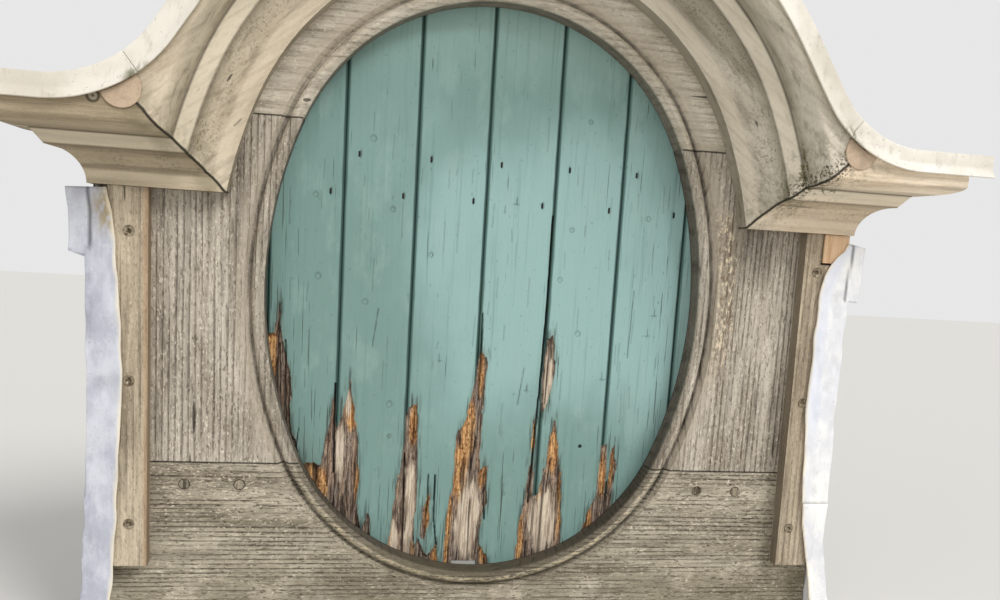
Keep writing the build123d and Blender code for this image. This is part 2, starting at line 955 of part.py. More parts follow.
for index in range(-1, board_count + 1):
    left = joint(index) + board_gap / 2
    right = joint(index + 1) - board_gap / 2
    with BuildPart() as board:
        with BuildSketch(front(leaf_back)):
            with Locations(((left + right) / 2, 0)):
                Rectangle(right - left, 2 * (oval_half_height + leaf_lap))
        extrude(amount=board_thickness)
        front_edges = board.edges().filter_by(Axis.Z).group_by(Axis.Y)[0]
        chamfer(front_edges, length=board_chamfer)
        with BuildSketch(front(tongue_back)):
            with Locations((right, 0)):
                Rectangle(2 * tongue_length, 2 * (oval_half_height + leaf_lap))
        extrude(amount=tongue_thickness)
        with BuildSketch(front(tongue_back - tongue_clearance)):
            with Locations((left, 0)):
                Rectangle(2 * (tongue_length + groove_grow), 3 * oval_half_height)
        extrude(amount=tongue_thickness + groove_grow, mode=Mode.SUBTRACT)
        with BuildSketch(front(leaf_back)):
            add(oval(leaf_lap))
        extrude(amount=board_thickness, mode=Mode.INTERSECT)
        for outline in rot_outlines:
            if min(x for x, z in outline) < right and max(x for x, z in outline) > left:
                with BuildSketch(front(leaf_front)):
                    with BuildLine():
                        Polyline(*outline, close=True)
                    make_face()
                extrude(amount=-rot_depth, mode=Mode.SUBTRACT)
        with BuildSketch(front(leaf_back)):
            with Locations(((gap_left + gap_right) / 2, gap_top)):
                Rectangle(gap_right - gap_left, oval_half_height, align=(Align.CENTER, Align.MAX))
            with Locations(peep_place):
                Circle(peep_radius)
        extrude(amount=board_thickness, mode=Mode.SUBTRACT)
        add(nail_slots, mode=Mode.SUBTRACT)
        if index >= board_count - 1:
            add(bolt_holes, mode=Mode.SUBTRACT)
    finish(board.part, f"board_{index + 2}")

finish(nails(0), "leaf_nails")

# Ledges, straps and pintles

for side, name in ((-1, "lower"), (1, "upper")):
    height = side * ledge_place
    with BuildPart() as ledge:
        with BuildSketch(front(leaf_back)):
            with Locations((0, height)):
                Rectangle(2 * oval_half_width, ledge_height)
            add(oval(leaf_lap - ledge_end_margin), mode=Mode.INTERSECT)
        extrude(amount=-ledge_thickness)
        chamfer(ledge.faces().sort_by(Axis.Y)[-1].edges(), length=ledge_chamfer)
        add(nail_slots, mode=Mode.SUBTRACT)
        add(strap_holes, mode=Mode.SUBTRACT)
    finish(ledge.part, f"ledge_{name}")

    with BuildPart() as strap:
        with BuildSketch(front(ledge_back)):
            with BuildLine():
                Polyline(
                    (hinge_x, height + eye_height / 2),
                    (strap_start, height + strap_tip_height / 2),
                    (strap_start, height - strap_tip_height / 2),
                    (hinge_x, height - eye_height / 2),
                    close=True,
                )
            make_face()
            with Locations((strap_start, height)):
                Circle(strap_tip_height / 2)
        extrude(amount=-strap_thickness)
        with BuildSketch(level(height - eye_height / 2)):
            with Locations((hinge_x, -hinge_forward)):
                Circle(eye_radius)
        extrude(amount=eye_height)
        with BuildSketch(level(height - eye_height / 2)):
            with Locations((hinge_x, -hinge_forward)):
                Circle(hinge_pin_radius + hinge_pin_clearance)
        extrude(amount=eye_height, mode=Mode.SUBTRACT)
        add(strap_holes, mode=Mode.SUBTRACT)
    finish(strap.part, f"hinge_strap_{name}")

    lug_top = height - eye_height / 2 - eye_rest_gap
    with BuildPart() as pintle:
        with BuildSketch(front(0)):
            with Locations((hinge_x, height + (pintle_plate_up - pintle_plate_down) / 2)):
                Rectangle(2 * pintle_plate_half_width, pintle_plate_up + pintle_plate_down)
        extrude(amount=-pintle_plate_thickness)
        with BuildSketch(level(lug_top)):
            with Locations((hinge_x, -hinge_forward)):
                Circle(eye_radius)
            with Locations((hinge_x, 0)):
                Rectangle(2 * eye_radius, -hinge_forward, align=(Align.CENTER, Align.MIN))
        extrude(amount=-pintle_lug_height)
        with BuildSketch(level(lug_top)):
            with Locations((hinge_x, -hinge_forward)):
                Circle(hinge_pin_radius)
        extrude(amount=eye_rest_gap + eye_height + hinge_pin_above)
        add(pintle_holes, mode=Mode.SUBTRACT)
    finish(pintle.part, f"pintle_{name}")

# Slide bolt and keeper

rod_end = bolt_rest_tip - bolt_length
rod_plane = Plane(
    origin=(rod_end, -bolt_forward, oval_above_screws + bolt_height),
    x_dir=(0, -1, 0),
    z_dir=(1, 0, 0),
)
knob_plane = Plane(
    origin=(bolt_rest_tip - bolt_knob_back, -bolt_forward, oval_above_screws + bolt_height),
    x_dir=(1, 0, 0),
    z_dir=(0, 1, 0),
)
with BuildPart() as bolt:
    with BuildSketch(rod_plane):
        Circle(bolt_radius)
    extrude(amount=bolt_length)
    with BuildSketch(knob_plane):
        Circle(bolt_stem_radius)
    extrude(amount=bolt_knob_reach)
    with Locations(knob_plane.offset(bolt_knob_reach)):
        Sphere(bolt_knob_radius)
finish(bolt.part, "bolt")

guide_back = bolt_forward - bolt_radius - guide_wall
with BuildPart() as bolt_plate:
    with BuildSketch(front(leaf_back)):
        with Locations((bolt_plate_start, bolt_height)):
            Rectangle(
                bolt_plate_length, 2 * bolt_plate_half_height, align=(Align.MIN, Align.CENTER)
            )
    extrude(amount=-bolt_plate_thickness)
    with BuildSketch(front(leaf_back - bolt_plate_thickness)):
        with Locations(*[(x, bolt_height) for x in guide_xs]):
            Rectangle(guide_width, 2 * guide_half_height)
    extrude(amount=guide_back - leaf_back + bolt_plate_thickness)
    with BuildSketch(rod_plane):
        Circle(bolt_radius + bolt_clearance)
    extrude(amount=bolt_length, mode=Mode.SUBTRACT)
    add(bolt_holes, mode=Mode.SUBTRACT)
finish(bolt_plate.part, "bolt_plate")

keeper_back = bolt_forward - bolt_radius - keeper_clearance - keeper_wall
with BuildPart() as keeper:
    with BuildSketch(front(0)):
        with Locations((keeper_start, bolt_height)):
            Rectangle(keeper_width, 2 * keeper_half_height, align=(Align.MIN, Align.CENTER))
    extrude(amount=-keeper_wall)
    with BuildSketch(front(0)):
        with Locations((keeper_start, bolt_height)):
            Rectangle(keeper_width, 2 * keeper_bridge_half, align=(Align.MIN, Align.CENTER))
    extrude(amount=keeper_back)
    with BuildSketch(front(0)):
        with Locations((keeper_start, bolt_height)):
            Rectangle(
                keeper_width,
                2 * (bolt_radius + keeper_clearance),
                align=(Align.MIN, Align.CENTER),
            )
    extrude(amount=keeper_back + keeper_wall, mode=Mode.SUBTRACT)
    add(keeper_holes, mode=Mode.SUBTRACT)
finish(keeper.part, "keeper")
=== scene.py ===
from itertools import product
from math import cos, pi, radians, sin, sqrt

import bmesh
import bpy
import numpy as np
from mathutils import Matrix, Vector


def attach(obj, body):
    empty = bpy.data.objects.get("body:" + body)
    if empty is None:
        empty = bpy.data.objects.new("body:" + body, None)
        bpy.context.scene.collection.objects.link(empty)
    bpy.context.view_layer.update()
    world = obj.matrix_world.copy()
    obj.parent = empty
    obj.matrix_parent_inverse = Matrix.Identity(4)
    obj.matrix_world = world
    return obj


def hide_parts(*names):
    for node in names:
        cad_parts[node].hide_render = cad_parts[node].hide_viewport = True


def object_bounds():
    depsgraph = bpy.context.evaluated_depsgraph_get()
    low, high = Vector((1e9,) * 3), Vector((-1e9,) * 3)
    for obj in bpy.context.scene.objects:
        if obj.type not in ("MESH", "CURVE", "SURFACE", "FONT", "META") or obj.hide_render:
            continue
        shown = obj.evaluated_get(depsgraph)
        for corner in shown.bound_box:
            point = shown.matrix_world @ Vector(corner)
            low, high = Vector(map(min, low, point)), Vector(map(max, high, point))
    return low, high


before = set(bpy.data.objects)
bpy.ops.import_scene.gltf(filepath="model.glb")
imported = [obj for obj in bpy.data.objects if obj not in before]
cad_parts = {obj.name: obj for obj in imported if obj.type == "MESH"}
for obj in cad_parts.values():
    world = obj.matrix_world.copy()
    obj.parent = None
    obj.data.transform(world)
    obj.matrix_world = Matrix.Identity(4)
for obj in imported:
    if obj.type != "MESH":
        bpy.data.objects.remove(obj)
cad_box = [list(corner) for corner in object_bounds()]
scene = bpy.context.scene

# Sizes are in millimetres, from the oval's centre. X runs right and Z up, and a forward
# distance is measured from the frame's back face. Meshes are in metres, in the frame's axes.

MM = 0.001
RIGHT, INWARD, UP = (1, 0, 0), (0, 1, 0), (0, 0, 1)
OUTWARD = (0, -1, 0)
OVAL_ABOVE_SCREWS = 116
FRAME_FRONT = 64

# Camera
IMAGE_WIDTH, IMAGE_HEIGHT = 1000, 600
FOCAL_PIXELS = 950
CENTRE_PIXEL = (515, 392)
CAMERA_SPOT = (-193.06, -1196.8, 72.86)
CAMERA_TURNS = (9.00, -10.81, 1.92)

# Leaf
BOARD_COUNT = 8
BOARD_PITCH = 90.37
FIRST_JOINT = -278.3
BOARD_FRONT = 25.7
BOARD_GAP, RIM_GAP = 0.4, 0.4
OVAL_HALF_WIDTH, OVAL_HALF_HEIGHT = 280, 363
OVAL_MEET = radians(22.66)
LEAF_LAP = 10
LEAF_HALF_WIDTH = OVAL_HALF_WIDTH + LEAF_LAP
BROKEN_LEFT, BROKEN_RIGHT, BROKEN_FOOT = -28, 8, -360
PEEP_SPOT, PEEP_RADIUS = (141, -195), 2.75

# The oval's arcs, two at the ends and two at the sides
arc_step = (OVAL_HALF_HEIGHT - OVAL_HALF_WIDTH) / (sin(OVAL_MEET) + cos(OVAL_MEET) - 1)
side_centre, end_centre = arc_step * cos(OVAL_MEET), arc_step * sin(OVAL_MEET)
side_radius, end_radius = OVAL_HALF_WIDTH + side_centre, OVAL_HALF_HEIGHT - end_centre

# Bead and joints of the frame, and the hood's moulding and mitres
BEAD_WIDTH = 17
HEAD_JOINT, RAIL_JOINT = 206, -218
JOINT_WIDTH, CROWN_WIDTH, MITRE_WIDTH = 2.2, 2.6, 4.6
BATTEN_STREAK = -411
RISER_FORWARD, HOLLOW_FORWARD, FILLET_FORWARD = 90, 125, 137
MITRE_OFFSET = 212.33
OLD_SCREW_RIGHT, OLD_SCREW_UP = -447, 197


def spot(x, forward, z):
    """A place in metres, from its distance right, forward and up."""
    return Vector((x * MM, -forward * MM, (z + OVAL_ABOVE_SCREWS) * MM))


# Noise for shapes

NOISE_TABLE = 8192
NOISE_STEPS = (73856093, 19349663, 83492791)
OCTAVE_SEED = 31


def lumps(places, size, seed):
    """Smooth lumps from -1 to 1 at many places, with the lumps' size along each axis."""
    table = np.random.default_rng(seed).uniform(-1, 1, NOISE_TABLE)
    scaled = places / np.asarray(size, float)
    cell = np.floor(scaled).astype(np.int64)
    part = scaled - cell
    part = part * part * (3 - 2 * part)
    total = np.zeros(len(places))
    for corner in product((0, 1), repeat=3):
        key = (cell + np.array(corner)) * NOISE_STEPS
        mixed = key[:, 0] ^ key[:, 1] ^ key[:, 2]
        weight = np.prod(np.where(np.array(corner) == 1, part, 1 - part), axis=1)
        total += table[mixed & (NOISE_TABLE - 1)] * weight
    return total


def rough(places, size, seed, octaves=3):
    """Lumps with finer lumps on them."""
    total = np.zeros(len(places))
    for step in range(octaves):
        finer = np.asarray(size, float) / 2**step
        total += lumps(places, finer, seed + OCTAVE_SEED * step) / 2**step
    return total / (2 - 2 ** (1 - octaves))


def rise(low, high, value):
    """0 below low, 1 above high, and smooth between."""
    share = np.clip((value - low) / (high - low), 0, 1)
    return share * share * (3 - 2 * share)


def fall(low, high, value):
    """1 below low, 0 above high, and smooth between."""
    return 1 - rise(low, high, value)


# Working on meshes


def cad_copy(node):
    """A merged mesh of a CAD node with clean flat faces, ready to be shaped."""
    bm = bmesh.new()
    bm.from_mesh(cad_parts[node].data)
    bmesh.ops.remove_doubles(bm, verts=bm.verts, dist=1e-5)
    bmesh.ops.dissolve_limit(
        bm, angle_limit=radians(0.3), use_dissolve_boundaries=False, verts=bm.verts, edges=bm.edges)
    return bm


def ease_edges(bm, width, sharper_than=35):
    """Rounds the edges that turn more sharply than an angle."""
    sharp = [
        edge for edge in bm.edges
        if len(edge.link_faces) == 2 and edge.calc_face_angle(0) > radians(sharper_than)
    ]
    bmesh.ops.bevel(
        bm, geom=sharp, offset=width * MM, offset_type="OFFSET", affect="EDGES",
        segments=2, profile=0.5, material=-1, clamp_overlap=True)


def slice_up(bm, *cuts):
    """Cuts every face at even planes. Each cut is a direction and the widest step along it."""
    for direction, step in cuts:
        direction = Vector(direction).normalized()
        along = [vert.co.dot(direction) for vert in bm.verts]
        low, high = min(along), max(along)
        count = int((high - low) / (step * MM))
        for index in range(1, count + 1):
            bmesh.ops.bisect_plane(
                bm, geom=bm.verts[:] + bm.edges[:] + bm.faces[:], dist=1e-6, plane_no=direction,
                plane_co=direction * (low + index * (high - low) / (count + 1)))


def places_of(bm):
    """All the vertices of a mesh in millimetres."""
    return np.array([vert.co for vert in bm.verts]) / MM


def normals_of(bm):
    """The directions in which a mesh's vertices face."""
    bm.normal_update()
    return np.array([vert.normal for vert in bm.verts])


def move_to(bm, places):
    """Moves all the vertices of a mesh to places in millimetres."""
    for vert, place in zip(bm.verts, places * MM):
        vert.co = place


def only(kind, parts):
    """The parts of a mesh that are of one kind."""
    return [part for part in parts if isinstance(part, kind)]


def mesh_object(bm, name, material):
    """An object in the scene with a finished mesh."""
    mesh = bpy.data.meshes.new(name)
    bm.to_mesh(mesh)
    bm.free()
    mesh.materials.append(material)
    made = bpy.data.objects.new(name, mesh)
    scene.collection.objects.link(made)
    return made


def piece(bm, node, kind, body, material, smooth=40, marks=None):
    """Turns a finished mesh into a piece that rides on a body and stands for its node."""
    bm.normal_update()
    made = mesh_object(bm, f"{node}_{kind}", material)
    for polygon in made.data.polygons:
        polygon.use_smooth = True
    made.data.set_sharp_from_angle(angle=radians(smooth))
    for label, values in (marks or {}).items():
        layer = made.data.attributes.new(label, "FLOAT", "POINT")
        layer.data.foreach_set("value", np.asarray(values, np.float32))
    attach(made, body)
    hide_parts(node)


# Building materials. Colours are written 0 to 255, and distances in a material are metres.
# A share of a colour, or a factor, may be a tuple: a value and the range in which it rises.


def linear(channel):
    """A colour channel as written, turned into the light that it stands for."""
    share = channel / 255
    return share / 12.92 if share <= 0.04045 else ((share + 0.055) / 1.055) ** 2.4


def colour(value):
    """A colour as a shader takes it, or a socket as it is."""
    if isinstance(value, bpy.types.NodeSocket):
        return value
    return (*[linear(channel) for channel in value], 1.0)


def shade(value, share):
    """A colour made lighter or darker."""
    return tuple(min(255, share * channel) for channel in value)


class Nodes:
    """Short calls for the nodes of a material or a world."""

    def __init__(self, owner):
        owner.use_nodes = True
        self.tree = owner.node_tree

    def node(self, kind, inputs=None, **settings):
        """A new node with its settings, and with what goes into its inputs."""
        made = self.tree.nodes.new(kind)
        for key, value in settings.items():
            setattr(made, key, value)
        for key, value in (inputs or {}).items():
            self.put(made.inputs[key], value)
        return made

    def put(self, socket, value):
        """Links a value to a socket, or writes it there."""
        if isinstance(value, bpy.types.NodeSocket):
            self.tree.links.new(value, socket)
        else:
            socket.default_value = value

    def between(self, value, start, end, out_start=0.0, out_end=1.0):
        """A value rescaled smoothly from one range to another, and held inside it."""
        if start > end:
            start, end, out_start, out_end = end, start, out_end, out_start
        return self.node("ShaderNodeMapRange", {
            "Value": value, "From Min": start, "From Max": end,
            "To Min": out_start, "To Max": out_end,
        }, interpolation_type="SMOOTHSTEP").outputs["Result"]

    def ready(self, value):
        """A socket or number as it is. A tuple is taken as what goes into between."""
        return self.between(*value) if isinstance(value, tuple) else value

    def math(self, operation, first, second=0.0):
        inputs = {0: self.ready(first), 1: self.ready(second)}
        return self.node("ShaderNodeMath", inputs, operation=operation).outputs[0]

    def plus(self, first, second):
        return self.math("ADD", first, second)

    def minus(self, first, second):
        return self.math("SUBTRACT", first, second)

    def times(self, first, *others):
        for other in others:
            first = self.math("MULTIPLY", first, other)
        return first


class Finish(Nodes):
    """A material, with the tone that is built up for it step by step."""

    def __init__(self, name, roughness=0.6, metallic=0.0, specular=0.5):
        self.material = bpy.data.materials.new(name)
        super().__init__(self.material)
        self.shader = self.tree.nodes["Principled BSDF"].inputs
        self.put(self.shader["Roughness"], roughness)
        self.put(self.shader["Metallic"], metallic)
        self.put(self.shader["Specular IOR Level"], specular)
        self.place = self.node("ShaderNodeTexCoord").outputs["Object"]
        self.axes = self.node("ShaderNodeSeparateXYZ", {0: self.place}).outputs
        self.tone = None

    def stretched(self, scale, turn=0.0):
        """The object's coordinates, turned about Y by an angle and then stretched."""
        scale = scale if isinstance(scale, tuple) else (scale, scale, scale)
        turned = self.node("ShaderNodeMapping", {"Vector": self.place, "Rotation": (0, turn, 0)})
        return self.node(
            "ShaderNodeMapping", {"Vector": turned.outputs[0], "Scale": scale}).outputs[0]

    def noise(self, scale, detail=4.0, roughness=0.55, distortion=0.0, turn=0.0):
        """Random lumps from 0 to 1, so many to the metre each way or along each axis."""
        return self.node("ShaderNodeTexNoise", {
            "Vector": self.stretched(scale, turn), "Scale": 1.0, "Detail": detail,
            "Roughness": roughness, "Distortion": distortion,
        }).outputs["Fac"]

    def cells(self, scale):
        """Smooth round cells, so many to the metre each way or along each axis."""
        return self.node(
            "ShaderNodeTexVoronoi", {"Vector": self.stretched(scale), "Scale": 1.0},
            feature="SMOOTH_F1").outputs["Distance"]

    def mark(self, name):
        """A value that the mesh carries at each vertex."""
        return self.node("ShaderNodeAttribute", attribute_name=name).outputs["Fac"]

    def band(self, value, start, full, fading, end):
        """0 up to the start, 1 from full to fading, and 0 again from the end."""
        return self.times((value, start, full), (value, end, fading))

    def line(self, value, at, width):
        """A soft line, 1 where a value is at a place in millimetres, and 0 away from it."""
        away = self.math("ABSOLUTE", self.minus(value, at * MM))
        return self.between(away, width * 0.75 * MM, width * 0.25 * MM)

    def mix(self, share, first, second):
        """The first colour, with a share of the second over it."""
        made = self.node("ShaderNodeMix", {"Factor": self.ready(share)}, data_type="RGBA")
        colours = [socket for socket in made.inputs if socket.type == "RGBA"]
        for socket, value in zip(colours, (first, second)):
            self.put(socket, colour(value))
        return next(socket for socket in made.outputs if socket.type == "RGBA")

    def tint(self, over, *shares):
        """Lays a colour over the tone, by the product of its shares."""
        self.tone = self.mix(self.times(*shares), self.tone, over)

    def parts(self):
        """Distance from the middle line, depth, and height above the oval's centre."""
        height = self.minus(self.axes["Z"], OVAL_ABOVE_SCREWS * MM)
        return self.math("ABSOLUTE", self.axes["X"]), self.axes["Y"], height

    def long(self, first, second):
        """The length of a line with two sides."""
        squares = self.plus(self.times(first, first), self.times(second, second))
        return self.math("POWER", squares, 0.5)

    def from_oval(self):
        """The distance outside the opening's oval, seen from the front."""
        across, _, height = self.parts()
        height = self.math("ABSOLUTE", height)
        over_end = self.minus(height, end_centre * MM)
        by_end = self.minus(self.long(across, over_end), end_radius * MM)
        by_side = self.long(self.plus(across, side_centre * MM), height)
        by_side = self.minus(by_side, side_radius * MM)
        turn = self.minus(
            self.times(over_end, cos(OVAL_MEET)), self.times(across, sin(OVAL_MEET)))
        in_end = self.math("GREATER_THAN", turn, 0.0)
        return self.plus(by_side, self.times(in_end, self.minus(by_end, by_side)))

    def paint(self):
        """Gives the material its tone."""
        self.put(self.shader["Base Color"], colour(self.tone))

    def gloss(self, value):
        self.put(self.shader["Roughness"], value)

    def bump(self, height, depth, strength=1.0):
        """Adds relief of a depth in millimetres, on top of what is there."""
        made = self.node(
            "ShaderNodeBump", {"Height": height, "Distance": depth * MM, "Strength": strength})
        normal = self.shader["Normal"]
        if normal.links:
            self.put(made.inputs["Normal"], normal.links[0].from_socket)
        self.put(normal, made.outputs["Normal"])


# Old wood

BLOTCH = (112, 100, 82)


def weathered_wood(
    name, grain, colours, pitch=7.5, lines=0.55, speckle=0.65, fleck=0.35, relief=0.5, seams=None,
):
    """Old outdoor wood with raised grain. The grain runs at an angle from X towards Z."""
    wood = Finish(name, roughness=0.86, specular=0.25)
    broad = wood.noise((3.5, 15, 15), 5, 0.62, turn=grain)
    streak = wood.noise((5, 90, 60), 4, 0.6, turn=grain)
    fibre = wood.noise((30, 480, 300), 3, 0.6, turn=grain)
    grit = wood.noise((150, 560, 560), 2, 0.6, turn=grain)
    fading = wood.noise((7, 70, 70), 3, turn=grain)
    flecks = wood.noise((70, 260, 260), 2, 0.5, 0.3, turn=grain)
    dots = wood.noise((210, 420, 420), 2, 0.6, turn=grain)
    check = wood.noise((4, 150, 60), 3, 0.5, 0.1, turn=grain)
    ring_scale = 2 * pi / 20 / (pitch * MM)
    rings = wood.node("ShaderNodeTexWave", {
        "Vector": wood.stretched((3.2, ring_scale, ring_scale), grain), "Scale": 1.0,
        "Distortion": 5.5, "Detail": 3.0, "Detail Scale": 0.42,
    }, wave_type="BANDS", bands_direction="Z").outputs["Fac"]
    pale, middle, dark = colours
    bright, black = shade(pale, 1.16), shade(dark, 0.35)
    wood.tone = wood.mix((broad, 0.36, 0.64), middle, pale)
    wood.tint(BLOTCH, (streak, 0.52, 0.68), 0.45)
    wood.tint(pale, (streak, 0.45, 0.3), 0.5)
    wood.tint(dark, (fibre, 0.5, 0.66), 0.4 * speckle + 0.1)
    ring = wood.times((rings, 0.3, 0.0), (fading, 0.36, 0.58))
    wood.tint(dark, ring, lines)
    wood.tint(dark, (grit, 0.56, 0.68), speckle)
    wood.tint(pale, (grit, 0.42, 0.3), 0.8 * speckle)
    wood.tint(bright, (flecks, 0.62, 0.7), fleck)
    wood.tint(bright, (dots, 0.61, 0.67), 0.95 * speckle)
    crack = wood.between(check, 0.71, 0.735)
    wood.tint(black, crack, 0.8)
    wood.tint(shade(dark, 0.7), (wood.mark("sunk"), 0.45, 0.95), 0.4)
    if seams:
        seams(wood, black)
    wood.paint()
    wood.bump(wood.plus(wood.times(ring, -1.0), wood.times(fibre, -0.7)), relief * 1.6)
    gritty = wood.times((grit, 0.5, 0.7), 0.3)
    wood.bump(wood.times(wood.plus(crack, gritty), -1.0), relief)
    return wood.material


def frame_seams(wood, black):
    """Dark joints, painted shade in the quirk and reveal, and a broken painted highlight on the
    bead below.
    """
    _, depth, height = wood.parts()
    right = wood.axes["X"]
    away = wood.from_oval()
    broken = wood.noise((120, 120, 260), 4, 0.6)
    cloud = wood.noise(22, 4, 0.6)
    chips = wood.noise((230, 230, 110), 4, 0.65)
    # A pale margin round the bead, most of all below
    margin = wood.band(away, 0.019, 0.022, 0.026, 0.042)
    wood.tint((184, 172, 153), margin, (height, -0.3, -0.16, 0.1, 0.55))
    # The bead: painted shade on its inner slope and a painted highlight on its round, broken into
    # specks, both strongest below
    dull = wood.between(away, 0.009, 0.005)
    wood.tint((86, 77, 64), dull, (height, -0.3, -0.1, 0.75, 0.25))
    bead_highlight = wood.band(away, 0.006, 0.009, 0.012, 0.015)
    low = wood.between(height, -0.34, -0.2, 0.7, 0.06)
    wood.tint((232, 214, 178), bead_highlight, (broken, 0.48, 0.58), low)
    # The reveal and the rebate behind it, darkened with painted shade
    reveal = wood.between(depth, -0.058, -0.052)
    wood.tint((50, 44, 37), reveal, (away, 0.003, 0.0005), 0.62)
    rebate = wood.between(depth, -0.0275, -0.0265)
    wood.tint((22, 19, 16), rebate, (away, 0.015, 0.013), 0.9)
    # The quirk outside the bead, darkened with painted shade, most on the right, and the joints
    quirk = wood.times(wood.line(away, BEAD_WIDTH + 0.6, 5.0), (cloud, 0.34, 0.6, 0.25, 0.7))
    wood.tint((44, 38, 30), quirk, (right, -0.15, 0.1, 0.6, 1.0))
    outside = wood.between(away, 0.0, 0.002)
    for joint in (HEAD_JOINT, RAIL_JOINT):
        wood.tint(black, wood.line(height, joint, JOINT_WIDTH), outside, 0.75)
    # Painted shade on the frame's face near the hood's foot, under the hood
    shade_under_hood = wood.between(height, 0.05, 0.12)
    wood.tint((96, 88, 72), (away, 0.036, 0.056), shade_under_hood, 0.12)
    # The flaked strip beside the bead, on the front of the right jamb
    beside = wood.times(
        wood.band(away, 0.02, 0.03, 0.04, 0.056), (right, 0.24, 0.27),
        (depth, -0.06, -0.063), wood.band(height, -0.12, -0.02, 0.11, 0.15))
    wood.tint((122, 98, 68), beside, (chips, 0.36, 0.46, 0.85, 0.2))
    wood.tint((240, 222, 190), beside, (chips, 0.54, 0.6, 0.0, 0.9))
    foot = wood.between(height, -0.42, -0.26, 0.5, 0.0)
    wood.tint((104, 96, 74), foot, (cloud, 0.36, 0.56))


def batten_seams(wood, _):
    """A warm line down the left batten, and painted shade on the narrow sides."""
    normal = wood.node("ShaderNodeNewGeometry").outputs["Normal"]
    facing = wood.node("ShaderNodeSeparateXYZ", {0: normal}).outputs["X"]
    wood.tint((186, 148, 108), wood.line(wood.axes["X"], BATTEN_STREAK, 9), 0.4)
    wood.tint((78, 70, 58), (wood.math("ABSOLUTE", facing), 0.7, 0.9), 0.6)


def hood_seams(wood, black):
    """Painted shade in the moulding's corners, painted highlights on its edges, and the black open
    mitres.
    """
    across, depth, height = wood.parts()
    forward = wood.times(depth, -1.0)
    cloud = wood.noise(30, 4, 0.62)
    pit = wood.noise(330, 3, 0.65)
    tuft = wood.noise(150, 4, 0.65)
    wobble = wood.minus(wood.times(cloud, 0.008), 0.004)
    mitre = wood.plus(wood.minus(across, height), wobble)
    on_right = wood.between(wood.axes["X"], 0.0, 0.001)
    # The moulding from back to front: hollow, fillet and round, with painted shade and painted
    # highlights
    hollow = wood.band(forward, 0.092, 0.098, 0.1245, 0.1255)
    # Painted shade in the hollow, deepest near the fillet
    wood.tint((92, 82, 64), hollow, (forward, 0.104, 0.123, 0.1, 0.42))
    pitted = wood.times(hollow, (pit, 0.52, 0.62))
    wood.tint((104, 95, 78), pitted, (cloud, 0.4, 0.6, 0.1, 0.55))
    # Painted shade on the round just in front of the fillet, fading outward
    shaded_round = wood.between(forward, 0.1365, 0.1375)
    wood.tint((88, 78, 58), shaded_round, (forward, 0.14, 0.165, 0.42, 0.0))
    # A painted highlight on the fillet, and lines of painted shade along its creases
    wood.tint((250, 238, 214), wood.band(forward, 0.1255, 0.127, 0.1355, 0.137), 0.4)
    wood.tint((54, 47, 35), wood.line(forward, FILLET_FORWARD, 2.4), 0.6)
    wood.tint((60, 53, 40), wood.line(forward, HOLLOW_FORWARD, 1.6), 0.45)
    # A painted highlight on the hollow's edge next to the riser, and painted shade on the riser
    wood.tint((246, 232, 206), wood.line(forward, RISER_FORWARD + 1.5, 3), 0.3)
    wood.tint((84, 77, 64), (forward, 0.0885, 0.0895, 0.5, 0.0))
    # Grime along the mitres, with moss and straw in the right one
    grime = wood.line(mitre, MITRE_OFFSET, 60)
    wood.tint((98, 94, 62), grime, (cloud, 0.44, 0.62), 0.35)
    moss = wood.times(wood.line(mitre, MITRE_OFFSET - 6, 110), on_right)
    under_round = wood.between(wood.line(forward, FILLET_FORWARD + 4, 16), 0.0, 1.0, 0.35, 1.0)
    wood.tint((88, 86, 48), moss, (tuft, 0.5, 0.6), under_round, 0.9)
    straw = wood.times(wood.line(mitre, MITRE_OFFSET - 4, 34), on_right)
    straw = wood.times(straw, (forward, 0.118, 0.126))
    wood.tint((66, 54, 40), straw, (pit, 0.5, 0.58), 0.85)
    wood.tint(black, wood.line(mitre, MITRE_OFFSET, MITRE_WIDTH), 0.94)
    # The old screw in the left return: a dull head, its dark slot and the ring round it
    from_screw = wood.long(
        wood.minus(wood.axes["X"], OLD_SCREW_RIGHT * MM), wood.minus(height, OLD_SCREW_UP * MM))
    on_round = wood.between(forward, 0.137, 0.14)
    wood.tint((176, 166, 148), on_round, (from_screw, 0.0052, 0.0042), 0.8)
    for at in (0, 5.8):
        wood.tint((58, 50, 38), wood.line(from_screw, at, 3.0), on_round, 0.75)
    wood.tint(black, wood.line(across, 0, CROWN_WIDTH), 0.7)


# Other finishes

PAINT = (121, 151, 144)
PAINT_CENTRE = (150, 183, 178)
PAINT_DARK = (44, 68, 62)


